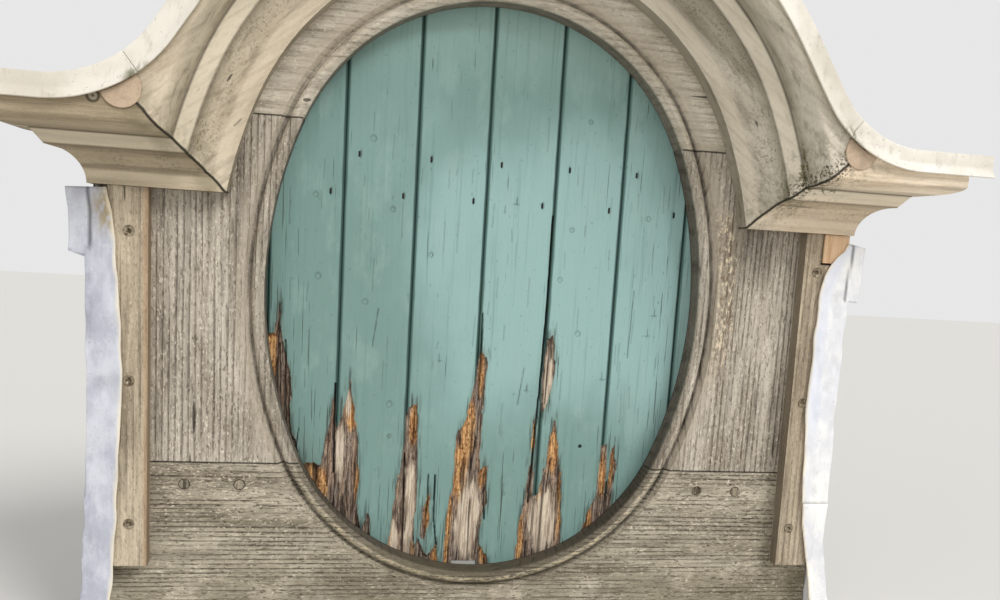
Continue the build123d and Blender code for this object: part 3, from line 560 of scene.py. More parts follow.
def painted_boards(name):
    """Old sage green paint on upright boards: cracked, thin in places and lost where rotten."""
    paint = Finish(name, roughness=0.62, specular=0.3)
    broad = paint.noise((6, 6, 4))
    cloud = paint.noise((30, 30, 14), 4, 0.6)
    streak = paint.noise((210, 210, 5), 4, 0.6)
    crack = paint.noise((520, 520, 9), 3, 0.55, 0.1)
    hair = paint.noise((1100, 1100, 26), 2)
    speck = paint.noise((240, 240, 150), 2)
    worn = paint.mark("worn")
    right, up = paint.axes["X"], paint.axes["Z"]
    # The coat of paint, with painted light: palest in the middle and on the right, mottled at
    # random
    lit_and_mottled = paint.times((right, -0.2, 0.0), (up, 0.46, 0.2), (up, -0.12, 0.1))
    lit_and_mottled = paint.plus(lit_and_mottled, (broad, 0.34, 0.66, -0.25, 0.25))
    paint.tone = paint.mix((lit_and_mottled, 0.0, 1.0), PAINT, PAINT_CENTRE)
    paint.tint((158, 184, 176), (cloud, 0.5, 0.7), 0.3)
    # Painted light near the top of the boards, where the hood's shadow falls
    paint.tint((160, 191, 182), (up, 0.36, 0.46, 0.0, 0.6))
    paint.tint((104, 138, 129), (streak, 0.54, 0.7), 0.35)
    paint.tint((84, 108, 100), (speck, 0.66, 0.74), 0.4)
    # Its wear and cracks, painted shade in the grooves, and a painted highlight on each right
    # chamfer
    paint.tint((108, 128, 118), (worn, 0.75, 1.0), 0.3)
    fine = paint.times((hair, 0.63, 0.7), (worn, 0.0, 1.0, 0.22, 0.8))
    paint.tint((92, 114, 104), fine, 0.55)
    cracking = paint.minus(crack, (worn, 0.0, 1.0, 0.735, 0.6))
    cracked = paint.between(cracking, 0.0, 0.03)
    paint.tint((66, 72, 62), cracked, 0.8)
    paint.tint(PAINT_DARK, paint.mark("groove"), 0.9)
    paint.tint((104, 140, 132), paint.mark("lit"), 0.75)
    coat = paint.tone

    # The bare wood: grey fibres, with fresh orange and smooth pale places
    fibres = paint.noise((420, 420, 22), 4, 0.65)
    crumble = paint.noise((320, 320, 190), 4, 0.65)
    tinge = paint.noise((90, 90, 16), 3)
    thread = paint.noise((760, 760, 70), 3, 0.65)
    paint.tone = paint.mix((fibres, 0.38, 0.62), (88, 74, 64), (158, 142, 127))
    paint.tint((176, 146, 122), (tinge, 0.5, 0.62), 0.6)
    paint.tint((116, 104, 102), (tinge, 0.44, 0.34), 0.5)
    paint.tint((206, 184, 156), (thread, 0.54, 0.62), 0.5)
    grain = paint.plus(paint.times(fibres, 0.6), paint.times(crumble, 0.4))
    orange = paint.mix((grain, 0.42, 0.58), (166, 110, 62), (234, 184, 122))
    paint.tint(orange, paint.mark("orange"), 0.9)
    pale = paint.mix((fibres, 0.35, 0.6), (172, 152, 132), (225, 209, 186))
    paint.tint(pale, paint.mark("pale"))
    holes = paint.between(paint.mark("pale"), 0.3, 0.9, 0.75, 0.15)
    paint.tint((74, 50, 36), (thread, 0.47, 0.4), holes)
    paint.tint((60, 40, 28), (crumble, 0.43, 0.36), holes, 0.8)

    # The wood shows through the coat with a crumbled edge
    crumbled = paint.times(paint.minus(crumble, 0.5), 0.9)
    bare = paint.between(paint.plus(paint.mark("bare"), crumbled), 0.42, 0.58)
    paint.tone = paint.mix(bare, coat, paint.tone)
    paint.tint((28, 22, 17), paint.mark("dark"), 0.92)
    paint.paint()
    paint.gloss(paint.between(bare, 0.0, 1.0, 0.58, 0.92))
    paint.bump(paint.plus(paint.times(streak, 0.5), paint.times(cracked, -1.0)), 0.5)
    paint.bump(paint.times(bare, paint.plus(fibres, paint.times(crumble, 0.7))), 1.6)
    return paint.material


def dressed_lead(name, grey, pale, white):
    """Old lead sheet with a white bloom and beaten, crumpled faces."""
    lead = Finish(name, roughness=0.6, specular=0.4)
    bloom = lead.noise((26, 26, 12), 6, 0.62)
    scuff = lead.noise((140, 140, 80), 5, 0.65)
    streak = lead.noise((160, 160, 8), 3)
    spots = lead.noise(330, 3)
    fold = lead.cells((38, 38, 24))
    lead.tone = lead.mix((bloom, 0.38, 0.62), pale, white)
    lead.tint(white, (scuff, 0.52, 0.66), 0.5)
    lead.tint(grey, (streak, 0.6, 0.74), 0.2)
    lead.tint(grey, (spots, 0.62, 0.7), 0.45)
    lead.tint((168, 148, 104), lead.mark("stain"), (scuff, 0.4, 0.56, 0.3, 0.9))
    lead.tint(grey, (lead.mark("sunk"), 0.4, 1.0), 0.5)
    lead.tint((220, 224, 240), lead.mark("inner"), 0.55)
    lead.tint((246, 234, 206), lead.mark("rim"), 0.75)
    lead.tint((58, 58, 60), lead.mark("lap"), 0.8)
    lead.paint()
    lead.gloss(lead.between(scuff, 0.35, 0.7, 0.5, 0.72))
    lead.bump(lead.plus(fold, lead.times(bloom, 0.6)), 2.6, 0.8)
    lead.bump(scuff, 0.7)
    return lead.material


def painted_capping(name):
    """Off-white coated sheet with soft grey dirt and a little moss."""
    sheet = Finish(name, roughness=0.48, specular=0.4)
    dirt = sheet.noise(9, 6, 0.62)
    drops = sheet.noise((70, 70, 22), 5, 0.65)
    speck = sheet.noise(330, 3)
    sheet.tone = sheet.mix((dirt, 0.4, 0.66), (236, 230, 217), (214, 206, 190))
    sheet.tint((166, 156, 138), (drops, 0.54, 0.7), 0.45)
    sheet.tint((120, 110, 92), (speck, 0.64, 0.72), 0.4)
    sheet.tint((84, 86, 44), sheet.mark("moss"), (drops, 0.42, 0.58))
    sheet.paint()
    sheet.gloss(sheet.between(dirt, 0.3, 0.7, 0.4, 0.62))
    sheet.bump(drops, 0.35)
    return sheet.material


def sawn_softwood(name):
    """New softwood, orange and clean, with strong straight rings."""
    wood = Finish(name, roughness=0.7, specular=0.3)
    rings = wood.noise((3, 150, 150), 3, distortion=0.2, turn=UPRIGHT)
    fibre = wood.noise((26, 700, 700), 3, turn=UPRIGHT)
    wood.tone = wood.mix((rings, 0.42, 0.6), (236, 204, 168), (220, 178, 136))
    wood.tint((168, 118, 78), (fibre, 0.5, 0.66), 0.4)
    wood.paint()
    wood.bump(fibre, 0.4)
    return wood.material


def wood_filler(name):
    """Pinkish filler, knifed on and gone dull."""
    filler = Finish(name, roughness=0.8, specular=0.3)
    smear = filler.noise(60, 5, 0.6)
    grit = filler.noise(700, 3)
    filler.tone = filler.mix((smear, 0.38, 0.64), (202, 178, 152), (182, 160, 136))
    filler.tint((110, 92, 78), (grit, 0.58, 0.7), 0.5)
    filler.paint()
    filler.bump(smear, 0.5)
    filler.bump(grit, 0.2)
    return filler.material


def rusted_iron(name, black, rust):
    """Forged iron, black with rust breaking through."""
    iron = Finish(name, roughness=0.6, metallic=0.55)
    skin = iron.noise(90, 6, 0.65)
    pits = iron.noise(520, 4, 0.6)
    iron.tone = iron.mix((skin, 0.5, 0.68), black, rust)
    iron.tint(shade(rust, 0.6), (pits, 0.56, 0.68), 0.5)
    iron.paint()
    iron.gloss(iron.between(skin, 0.35, 0.7, 0.5, 0.85))
    iron.bump(iron.cells(95), 0.5)
    iron.bump(pits, 0.25)
    return iron.material


def screw_steel(name):
    """Yellowed zinc-plated steel, dull with grime."""
    steel = Finish(name, roughness=0.5, metallic=0.4)
    grime = steel.noise(260, 5, 0.6)
    steel.tone = steel.mix((grime, 0.4, 0.62), (158, 145, 122), (92, 74, 54))
    steel.paint()
    steel.gloss(steel.between(grime, 0.35, 0.7, 0.42, 0.7))
    steel.bump(grime, 0.15)
    return steel.material


# Frame, hood, battens and ledges

UPRIGHT, LEVEL = radians(90), 0.0
HOOD_GRAINS = {"left": radians(38), "right": radians(-38)}
RIDGES, CALM_RIDGES, WAVES = (60, 4.5, 9), (160, 40, 60), (120, 22, 30)

# Pale, middle and dark colour of each wood
FRAME_COLOURS = ((206, 196, 180), (168, 157, 141), (92, 82, 69))
RAIL_COLOURS = ((194, 184, 164), (152, 142, 124), (80, 71, 58))
HEAD_COLOURS = ((224, 214, 196), (196, 185, 165), (116, 104, 84))
HOOD_COLOURS = {
    "left": ((224, 209, 185), (200, 184, 160), (140, 124, 100)),
    "right": ((222, 212, 194), (198, 188, 169), (138, 128, 108)),
}
# Painted light: the right return's colours are much paler than the left's, standing for the
# brighter light on that side
RETURN_SHADED_AND_LIT_COLOURS = {
    "left": ((188, 172, 146), (166, 150, 124), (116, 102, 80)),
    "right": ((252, 236, 212), (240, 219, 190), (180, 156, 126)),
}
BATTEN_COLOURS = ((208, 193, 168), (172, 156, 134), (102, 88, 72))
PEG_COLOURS = ((180, 170, 150), (152, 140, 120), (70, 60, 48))
HOOD_LOOK = dict(pitch=13, lines=0.22, speckle=0.2, fleck=0.08, relief=0.25, seams=hood_seams)


def old_wood(
    node, body, grain, finish, seed, depth, steps=(14, 3, 8), edge=1.2, calm=False,
):
    """A wooden piece shaped from its solid, with worn edges and raised grain."""
    bm = cad_copy(node)
    ease_edges(bm, edge)
    # Along the grain, across it, and through the wood
    axes = (cos(grain), 0, sin(grain)), (-sin(grain), 0, cos(grain)), INWARD
    slice_up(bm, *zip(axes, steps))
    places, normals = places_of(bm), normals_of(bm)
    inside = places @ np.array(axes).T
    ridges = 0.5 + 0.5 * lumps(inside, CALM_RIDGES if calm else RIDGES, seed)
    waves = 0.5 + 0.5 * lumps(inside, WAVES, seed + 1)
    sunk = 0.65 * ridges + 0.35 * waves
    move_to(bm, places - normals * (sunk * depth)[:, None])
    piece(bm, node, "wood", body, finish, 20 if calm else 40, {"sunk": sunk})


upright_oak = weathered_wood(
    "frame_oak_upright", UPRIGHT, FRAME_COLOURS, relief=0.7, seams=frame_seams)
level_oak = weathered_wood(
    "frame_oak_level", LEVEL, RAIL_COLOURS, pitch=6, lines=0.7, speckle=0.85, relief=0.7,
    seams=frame_seams)
head_oak = weathered_wood(
    "frame_oak_head", LEVEL, HEAD_COLOURS, pitch=9, lines=0.25, speckle=0.4, fleck=0.2,
    relief=0.35, seams=frame_seams)
batten_wood = weathered_wood(
    "batten_wood", UPRIGHT, BATTEN_COLOURS, lines=0.35, speckle=0.4, fleck=0.15, relief=0.6,
    seams=batten_seams)
ledge_wood = weathered_wood("ledge_wood", LEVEL, BATTEN_COLOURS)
peg_oak = weathered_wood("peg_end_grain", UPRIGHT, PEG_COLOURS, relief=0.4)

old_wood("frame_head", "frame", LEVEL, head_oak, 11, 0.4, (14, 5, 9))
for number, side in enumerate(("left", "right")):
    old_wood(f"jamb_{side}", "frame", UPRIGHT, upright_oak, 21 + number, 0.9)
old_wood("bottom_rail", "frame", LEVEL, level_oak, 31, 1.1)
for number, side in enumerate(("left", "right")):
    hood_grain = HOOD_GRAINS[side]
    hood_oak = weathered_wood(f"hood_oak_{side}", hood_grain, HOOD_COLOURS[side], **HOOD_LOOK)
    return_oak = weathered_wood(f"return_oak_{side}", LEVEL, RETURN_SHADED_AND_LIT_COLOURS[side], **HOOD_LOOK)
    old_wood(
        f"hood_arch_{side}", "frame", hood_grain, hood_oak, 41 + number,
        0.35, (16, 7, 7), 0.7, calm=True)
    old_wood(
        f"return_{side}", "frame", LEVEL, return_oak, 46 + number,
        0.35, (14, 6, 6), 0.7, calm=True)
    old_wood(
        f"batten_{side}", "frame", UPRIGHT, batten_wood, 51 + number, 0.9, edge=1.5)
for number, level in enumerate(("upper", "lower")):
    old_wood(f"ledge_{level}", "leaf", LEVEL, ledge_wood, 61 + number, 0.6)


# Boards of the leaf

# Outlines of the rotten places on the face of the boards, and how deep they are
ROTTEN = (
    (((-292, -60), (-268, -58), (-263, -15), (-259, -63), (-248, -117), (-247, -172),
      (-233, -222), (-292, -230)), 4.5),
    (((-192, -141), (-189, -186), (-180, -163), (-172, -114), (-163, -175), (-156, -247),
      (-159, -279), (-150, -330), (-200, -330), (-240, -250), (-225, -224), (-206, -228),
      (-200, -190)), 5.0),
    (((-144, -290), (-138, -324), (-146, -345), (-152, -330)), 2.5),
    (((-97, -150), (-90, -147), (-84, -142), (-81, -200), (-79, -257), (-82, -322), (-76, -385),
      (-116, -385), (-115, -342), (-108, -260), (-100, -215)), 5.0),
    (((-69, -284), (-64, -262), (-60, -300), (-66, -330), (-74, -322)), 3.0),
    (((-82, -338), (-74, -330), (-62, -352), (-50, -336), (-43, -385), (-84, -385)), 4.0),
    (((-4, -70), (5, -78), (2, -150), (3, -232), (14, -224), (16, -277), (9, -298), (9, -335),
      (19, -350), (24, -385), (-44, -385), (-38, -342), (-37, -305), (-29, -238), (-30, -189),
      (-19, -163), (-9, -115)), 5.5),
    (((85, -51), (93, -44), (98, -80), (95, -120), (86, -154), (82, -120)), 3.0),
    (((73, -186), (75, -160), (78, -190), (76, -215)), 2.5),
    (((71, -225), (77, -214), (78, -268), (88, -262), (96, -208), (103, -158), (110, -207),
      (118, -246), (122, -327), (114, -385), (60, -385), (63, -305), (68, -276)), 5.0),
    (((172, -195), (179, -191), (181, -240), (178, -268), (170, -262)), 4.0),
    (((187, -200), (191, -190), (194, -222), (190, -262), (184, -268)), 3.5),
    (((160, -285), (172, -262), (192, -262), (190, -320), (150, -320)), 5.0),
)
# Middle and reach of the patches of fresh orange wood, and of pale smooth wood
ORANGE = (
    (-272, -80, 7, 42), (-222, -250, 9, 30), (-205, -262, 8, 34), (-168, -160, 9, 26),
    (-158, -255, 4, 30), (-88, -170, 6, 34), (-112, -335, 5, 28), (-64, -290, 4, 34),
    (-48, -356, 8, 22), (-84, -350, 5, 20), (-1, -100, 4, 34), (-14, -176, 10, 44),
    (-22, -236, 10, 44), (-36, -320, 6, 60), (8, -240, 6, 20), (15, -345, 6, 22),
    (104, -205, 8, 30), (118, -270, 4, 60), (66, -330, 5, 40), (90, -275, 5, 22),
    (176, -240, 5, 34), (188, -225, 4, 34), (160, -300, 7, 22), (75, -190, 3, 26),
)
PALE = (
    (-182, -212, 7, 36), (-97, -238, 2, 10), (-88, -285, 8, 78), (-8, -300, 17, 64),
    (96, -305, 20, 48), (-196, -300, 16, 22), (90, -100, 6, 48), (-173, -146, 4, 22),
    (82, -245, 4, 30), (-107, -330, 6, 30),
)
# Lines of open splits, with their width and depth
SPLITS = (
    (((-263, -18), (-266, -62)), 0.8, 2), (((-255, -66), (-251, -205)), 1.0, 3),
    (((-262, -70), (-258, -180)), 1.1, 4), (((-191, -120), (-190, -238)), 1.7, 7),
    (((-170, -290), (-174, -250)), 1.2, 4), (((-236, -180), (-240, -214)), 0.7, 2),
    (((-97.5, -212), (-95, -360)), 1.6, 7), (((-65, -239), (-64, -292)), 0.8, 3),
    (((-56, -239), (-55, -300), (-50, -336)), 1.1, 4), (((-4, -20), (-2, -98)), 1.2, 5),
    (((-3, -185), (-8, -232)), 1.4, 5), (((10, -238), (14, -300)), 1.3, 4),
    (((82, 112), (82, 0), (79, -120), (76, -200), (74, -276)), 1.8, 6),
    (((101, -214), (98, -262)), 1.3, 4), (((112, -262), (115, -330)), 1.0, 3),
    (((89, -62), (88, -138)), 1.1, 3), (((183, -246), (184, -300)), 1.8, 5),
    (((56, -90), (50, -140)), 0.6, 1.2), (((-140, -20), (-146, -70)), 0.6, 1.2),
    (((200, 20), (198, -70)), 0.6, 1.0),
)
HAIR_SPLITS, HAIR_SEED = 70, 5
# Middle and radius of the plugged nail holes and small knots
ROUND_MARKS = (
    (-222.5, 118.8, 3.0), (-154.3, 192.3, 3.6), (-126.5, 106.9, 3.0), (-217.1, 17.8, 3.6),
    (-157.1, -12.1, 3.4), (-75.5, 52.5, 2.8), (96.9, 29.8, 3.0), (126.2, -40.7, 3.4),
    (123.5, 235, 2.6), (108.4, 95.6, 2.8), (212.2, 116.7, 3.0), (-121, -144.4, 3.8),
    (-119.3, -187.2, 2.4), (39.2, -263.9, 2.0),
)
STAR_MARKS = (
    (32.5, 124.1), (17.6, 112.8), (-58.5, -85), (61.4, -121), (164.6, -101.7), (231.2, -12),
    (223.6, -39.6),
)
NAIL_MARKS = (
    *((x, 172) for x in (-169.4, -80.6, 9.7, 99.4, 192.6)),
    *((x, 124) for x in (-204.3, -113.3, -24.6, 67.0, 157.4, 246.8)),
)
# The tongue and groove, as depth from the face and shift of the edge: left, right, elsewhere
EDGE_STEPS = (
    ((7.7, 0), (8, 0), (5, 0)), ((7.7, 6.6), (8, 6), (8, 0)), ((14.3, 6.6), (14, 6), (14, 0)),
    ((14.3, 0), (14, 0), (17, 0)), ((22, 0), (22, 0), (22, 0)),
)
COLUMN_PITCH, ROW_PITCH = 1.1, 1.75
BACK_WEAR = 0.35


def oval_reach(x, grow):
    """Half the oval's height at places across it, for the oval grown by a width."""
    across = np.minimum(np.abs(x), OVAL_HALF_WIDTH + grow - 0.05)
    end, side = end_radius + grow, side_radius + grow
    by_end = end_centre + np.sqrt(np.maximum(end**2 - across**2, 0))
    by_side = np.sqrt(np.maximum(side**2 - (across + side_centre) ** 2, 0))
    return np.where(across < end * sin(pi / 2 - OVAL_MEET), by_end, by_side)


def line_distance(x, z, points):
    """Distance of many places from a line of points."""
    best = np.full(len(x), 1e9)
    for (ax, az), (bx, bz) in zip(points[:-1], points[1:]):
        run, climb = bx - ax, bz - az
        share = ((x - ax) * run + (z - az) * climb) / (run * run + climb * climb)
        share = np.clip(share, 0, 1)
        best = np.minimum(best, np.hypot(x - ax - share * run, z - az - share * climb))
    return best


def inside_distance(x, z, outline):
    """Distance of many places from an outline, above 0 inside it."""
    inside = np.zeros(len(x), bool)
    for (ax, az), (bx, bz) in zip(outline, outline[1:] + outline[:1]):
        crossed = (az > z) != (bz > z)
        inside ^= crossed & (x < ax + (z - az) / ((bz - az) or 1e-9) * (bx - ax))
    best = line_distance(x, z, outline + outline[:1])
    return np.where(inside, best, -best)


def patch_share(x, z, patches, noise):
    """How much a place lies in a list of soft-edged patches."""
    share = np.zeros(len(x))
    for middle_x, middle_z, reach_x, reach_z in patches:
        away = np.hypot((x - middle_x) / reach_x, (z - middle_z) / reach_z) + 0.35 * noise
        share = np.maximum(share, fall(0.65, 1.15, away))
    return share


def hair_splits():
    """Short fine splits at random places, with their width and depth."""
    rng = np.random.default_rng(HAIR_SEED)
    made = []
    for _ in range(HAIR_SPLITS):
        x = rng.uniform(-262, 262)
        z = rng.uniform(-0.9, 0.85) * 330 * sqrt(max(0.02, 1 - (x / 285) ** 2))
        length = rng.uniform(8, 46)
        foot = (x + rng.uniform(-1.5, 1.5), z - length)
        made.append((((x, z), foot), 0.35 + 0.3 * rng.random(), 0.7))
    return made


all_splits = [*SPLITS, *hair_splits()]


def leaf_surface(x, z):
    """How deep the old surface lies below the boards' face, and what marks it bears."""
    at = np.stack([x, 0 * x, z], axis=1)

    # Joints between the boards, and slight unevenness
    from_joint = (x - FIRST_JOINT + BOARD_PITCH / 2) % BOARD_PITCH - BOARD_PITCH / 2
    to_joint = np.abs(from_joint)
    depth = np.maximum(2.7 + 0.5 * lumps(at, (200, 1, 34), 1) - to_joint, 0)
    # groove marks painted shade in the V-grooves, and lit marks a painted highlight on each
    # groove's right chamfer
    groove = fall(2.5, 3.8, to_joint + 0.4 * lumps(at, (3, 1, 20), 2))
    lit = rise(0.9, 1.7, from_joint) * fall(2.7, 3.6, from_joint)
    depth += 0.1 * (1 + lumps(at, (3.2, 1, 70), 3)) + 0.12 * (1 + lumps(at, (30, 1, 150), 4))
    worn = 0.22 + 0.4 * rise(-40, -330, z) + 0.3 * rise(130, 270, np.abs(x))
    worn += 0.35 * rough(at, (38, 1, 150), 5)

    # Rotten places
    bare, dark = np.zeros(len(x)), np.zeros(len(x))
    for index, (outline, reach) in enumerate(ROTTEN):
        near = inside_distance(x, z, outline)
        ragged = near + 1.5 * lumps(at, (2.2, 1, 15), 100 + index)
        ragged += 0.9 * lumps(at, (5, 1, 44), 200 + index)
        hollow = rise(0, 1.2, ragged)
        layer = 0.5 + 0.5 * lumps(at, (8, 1, 70), 300 + index)
        fibre = 0.5 + 0.5 * rough(at, (2.6, 1, 46), 400 + index, 2)
        cleft = rise(0.42, 0.62, lumps(at, (3.0, 1, 60), 500 + index)) * rise(1, 3, ragged)
        sink = hollow * (reach * (0.3 + 0.7 * layer)) + 1.6 * fibre * rise(0.5, 2.5, ragged)
        depth = np.maximum(depth, sink + 1.5 * cleft)
        bare = np.maximum(bare, rise(-1.1, 0.2, ragged))
        dark = np.maximum(dark, 0.75 * cleft)
        patchy = rise(-0.2, 0.4, lumps(at, (6, 1, 30), 600 + index))
        dark = np.maximum(dark, 0.6 * hollow * fall(0.4, 2.0, ragged) * patchy)
        # The paint is worn and streaked for a way round the rot, and farther above it
        around = -inside_distance(x, z / 3, tuple((px, pz / 3) for px, pz in outline))
        worn = np.maximum(worn, 1.15 - rise(-1, 11, around))
        strokes = rise(0.05, 0.4, lumps(at, (1.8, 1, 24), 700 + index))
        dark = np.maximum(dark, 0.5 * strokes * fall(1, 8, around) * (1 - hollow))

    # Splits, plugs, small knots and nail holes
    for points, width, reach in all_splits:
        near = np.abs(x - np.mean([point[0] for point in points])) < 14
        away = np.full(len(x), 99.0)
        away[near] = line_distance(x[near], z[near], points) + 0.25 * lumps(at[near], (2, 1, 9), 7)
        gape = fall(width * 0.4, width * 0.4 + 0.9, away)
        depth = np.maximum(depth, gape * reach)
        dark = np.maximum(dark, gape * (0.95 if reach > 2 else 0.6 if reach > 0.9 else 0.3))
    noise = rough(at, (6, 1, 26), 8)
    for mark_x, mark_z, radius in ROUND_MARKS:
        away = np.hypot(x - mark_x, z - mark_z)
        dark = np.maximum(dark, 0.4 * fall(0.3, 1.2, np.abs(away - radius) + 0.6 * noise))
        depth += 0.5 * fall(radius - 1.2, radius + 0.8, away)
    for mark_x, mark_z in STAR_MARKS:
        level_arm = np.hypot((x - mark_x) / 4.4, (z - mark_z) / 0.9)
        upright_arm = np.hypot((x - mark_x) / 0.8, (z - mark_z - 4) / 6.5)
        arms = np.minimum(level_arm, upright_arm)
        dark = np.maximum(dark, 0.6 * fall(0.6, 1.3, arms + 0.3 * noise))
    for mark_x, mark_z in NAIL_MARKS:
        away = np.hypot((x - mark_x) / 1.5, (z - mark_z) / 4.6)
        dark = np.maximum(dark, 0.62 * fall(0.6, 1.4, away + 0.3 * noise))
        depth += 0.5 * fall(0.8, 1.6, away)

    return depth, {
        "bare": bare, "dark": dark, "groove": groove * (1 - bare), "lit": lit * (1 - bare),
        "worn": np.clip(worn, 0, 1), "orange": patch_share(x, z, ORANGE, noise),
        "pale": patch_share(x, z, PALE, noise),
    }


def from_peep(x, z):
    """Distance from the middle of the small round hole."""
    return np.hypot(x - PEEP_SPOT[0], z - PEEP_SPOT[1])


def painted_board(index, finish):
    """A fine grid bent to the leaf's outline, worn on its face, with tongue and groove."""
    left, right = (FIRST_JOINT + BOARD_PITCH * (index - step) for step in (2, 1))
    left = max(left + BOARD_GAP / 2, -LEAF_HALF_WIDTH + RIM_GAP)
    right = min(right - BOARD_GAP / 2, LEAF_HALF_WIDTH - RIM_GAP)
    columns = max(6, int((right - left) / COLUMN_PITCH))
    reach = oval_reach(np.linspace(left, right, 9), LEAF_LAP).max()
    bm = bmesh.new()
    bmesh.ops.create_grid(bm, x_segments=columns, y_segments=int(2 * reach / ROW_PITCH), size=1)
    grid = np.array([vert.co for vert in bm.verts])
    x = left + (right - left) * (grid[:, 0] + 1) / 2
    high = oval_reach(x, LEAF_LAP)
    low = np.where((x > BROKEN_LEFT) & (x < BROKEN_RIGHT), BROKEN_FOOT, -high)
    z = low + (high - low) * (grid[:, 1] + 1) / 2
    # The grid's points near the hole are drawn onto its rim
    peep = from_peep(x, z)
    scale = np.where(np.abs(peep - PEEP_RADIUS) < 1.0, PEEP_RADIUS / np.maximum(peep, 0.1), 1)
    x = PEEP_SPOT[0] + (x - PEEP_SPOT[0]) * scale
    z = PEEP_SPOT[1] + (z - PEEP_SPOT[1]) * scale
    depth, marks = leaf_surface(x, z)
    # Each point's edge: 1 is the left one, 2 the right one and 0 elsewhere
    edge_of = bm.verts.layers.int.new("edge")
    values = {name: bm.verts.layers.float.new(name) for name in marks}
    at_left, at_right = grid[:, 0].min() + 1e-6, grid[:, 0].max() - 1e-6
    for number, vert in enumerate(bm.verts):
        vert[edge_of] = 1 if grid[number, 0] < at_left else 2 if grid[number, 0] > at_right else 0
        for name, layer in values.items():
            vert[layer] = float(marks[name][number])
        vert.co = spot(x[number], BOARD_FRONT - depth[number], z[number])
    hole = [face for face in bm.faces if all(
        from_peep(vert.co.x / MM, vert.co.z / MM - OVAL_ABOVE_SCREWS) < PEEP_RADIUS + 0.05
        for vert in face.verts)]
    bmesh.ops.delete(bm, geom=hole, context="FACES")
    rim_edges = [edge for edge in bm.edges if edge.is_boundary]
    for step, (left_step, right_step, other_step) in enumerate(EDGE_STEPS):
        made = bmesh.ops.extrude_edge_only(bm, edges=rim_edges)["geom"]
        rim_edges = only(bmesh.types.BMEdge, made)
        for vert in only(bmesh.types.BMVert, made):
            sunk, shift = (other_step, left_step, right_step)[vert[edge_of]]
            base = (None, left, right)[vert[edge_of]]
            vert.co.y = -(BOARD_FRONT - sunk) * MM
            if base is not None:
                vert.co.x = (base + shift) * MM
            if step > 0:
                for name, layer in values.items():
                    vert[layer] = BACK_WEAR if name == "worn" else 0
    bmesh.ops.triangle_fill(bm, edges=rim_edges, use_beauty=True)
    bmesh.ops.remove_doubles(bm, verts=bm.verts, dist=1e-6)
    bmesh.ops.recalc_face_normals(bm, faces=bm.faces)
    piece(bm, f"board_{index}", "painted", "leaf", finish, smooth=55)


board_finish = painted_boards("painted_boards")
for index in range(1, BOARD_COUNT + 1):
    painted_board(index, board_finish)


# Lead and capping

# Painted light: the right lead's colours are much paler than the left's, standing for the brighter
# light on that side
LEAD_SHADED_AND_LIT = {
    -1: dressed_lead("lead_left", (140, 142, 152), (180, 182, 194), (212, 214, 222)),
    1: dressed_lead("lead_right", (186, 188, 196), (232, 232, 236), (253, 252, 248)),
}
STAIN_RIGHT, STAIN_UP, STAIN_REACH = -453, 84, 26
# The upper flap of each side's lead: how far out it ends, and how high its foot is
FLAP_EDGE = 474
FLAP_FOOT = {-1: 34, 1: 24}
# Middle and reach of the moss on the capping
MOSS_SPOTS = ((352, 150, 60), (395, 218, 26), (-400, 218, 20))


def crumpled(bm, outward, height, size, seed, edge):
    """Pushes a sheet one way by uneven lumps, both faces together, as far as its edge lets it."""
    places = places_of(bm)
    flat = places.copy()
    flat[:, np.argmax(np.abs(outward))] = 0
    share = 0.5 + 0.5 * rough(flat, size, seed)
    ridge = 1 - np.abs(rough(flat, np.asarray(size) * 0.8, seed + 7, 2))
    share = np.clip(0.6 * share + 0.4 * ridge**2, 0, 1)
    move_to(bm, places + np.asarray(outward) * (share * height * edge(places))[:, None])
    return 1 - share


def flashing(node, side, seed):
    """A dressed lead strip, crumpled on its front and on its side, with a wavy edge."""
    bm = cad_copy(node)
    slice_up(bm, (RIGHT, 3.5), (UP, 5), (INWARD, 6))
    places = places_of(bm)
    height = places[:, 2] - OVAL_ABOVE_SCREWS
    level = np.stack([0 * height, 0 * height, height], 1)
    wave = lumps(level, (9, 9, 26), seed) * 1.4
    front = rise(78, 84, -places[:, 1])
    # How far each point is from the strip's inner edge, row by row
    inner = np.full(len(places), -1e9)
    rows = np.round(height / 5).astype(int)
    for row in np.unique(rows):
        at_row = (rows == row) & (front > 0.5)
        if at_row.any():
            inner[rows == row] = (-side * places[at_row, 0]).max()
    from_inner = inner + side * places[:, 0]
    rim = front * fall(1.2, 3.6, from_inner)
    width = 3 * lumps(level, (9, 9, 60), seed + 6)
    cool = front * fall(13, 22, from_inner + width) * rise(-210, -120, height) * (side > 0)
    flap_edge = FLAP_EDGE + 3 * lumps(level, (9, 9, 30), seed + 5)
    on_flap = rise(FLAP_FOOT[side] - 2, FLAP_FOOT[side] + 2, height) * front
    lap = on_flap * fall(0.5, 2.5, np.abs(side * places[:, 0] - flap_edge))
    places[:, 0] += wave * front
    move_to(bm, places)
    sunk = crumpled(
        bm, OUTWARD, 3.2, (17, 17, 30), seed + 1, lambda at: rise(60, 84, -at[:, 1]))
    crumpled(bm, (side, 0, 0), 3.0, (14, 17, 26), seed + 2, lambda at: fall(70, 82, -at[:, 1]))
    from_stain = np.hypot(places[:, 0] - STAIN_RIGHT, (height - STAIN_UP) * 0.6)
    stain = fall(6, STAIN_REACH, from_stain)
    marks = {"sunk": sunk, "stain": stain, "rim": rim, "inner": cool, "lap": lap}
    piece(bm, node, "lead", "frame", LEAD_SHADED_AND_LIT[side], 70, marks)


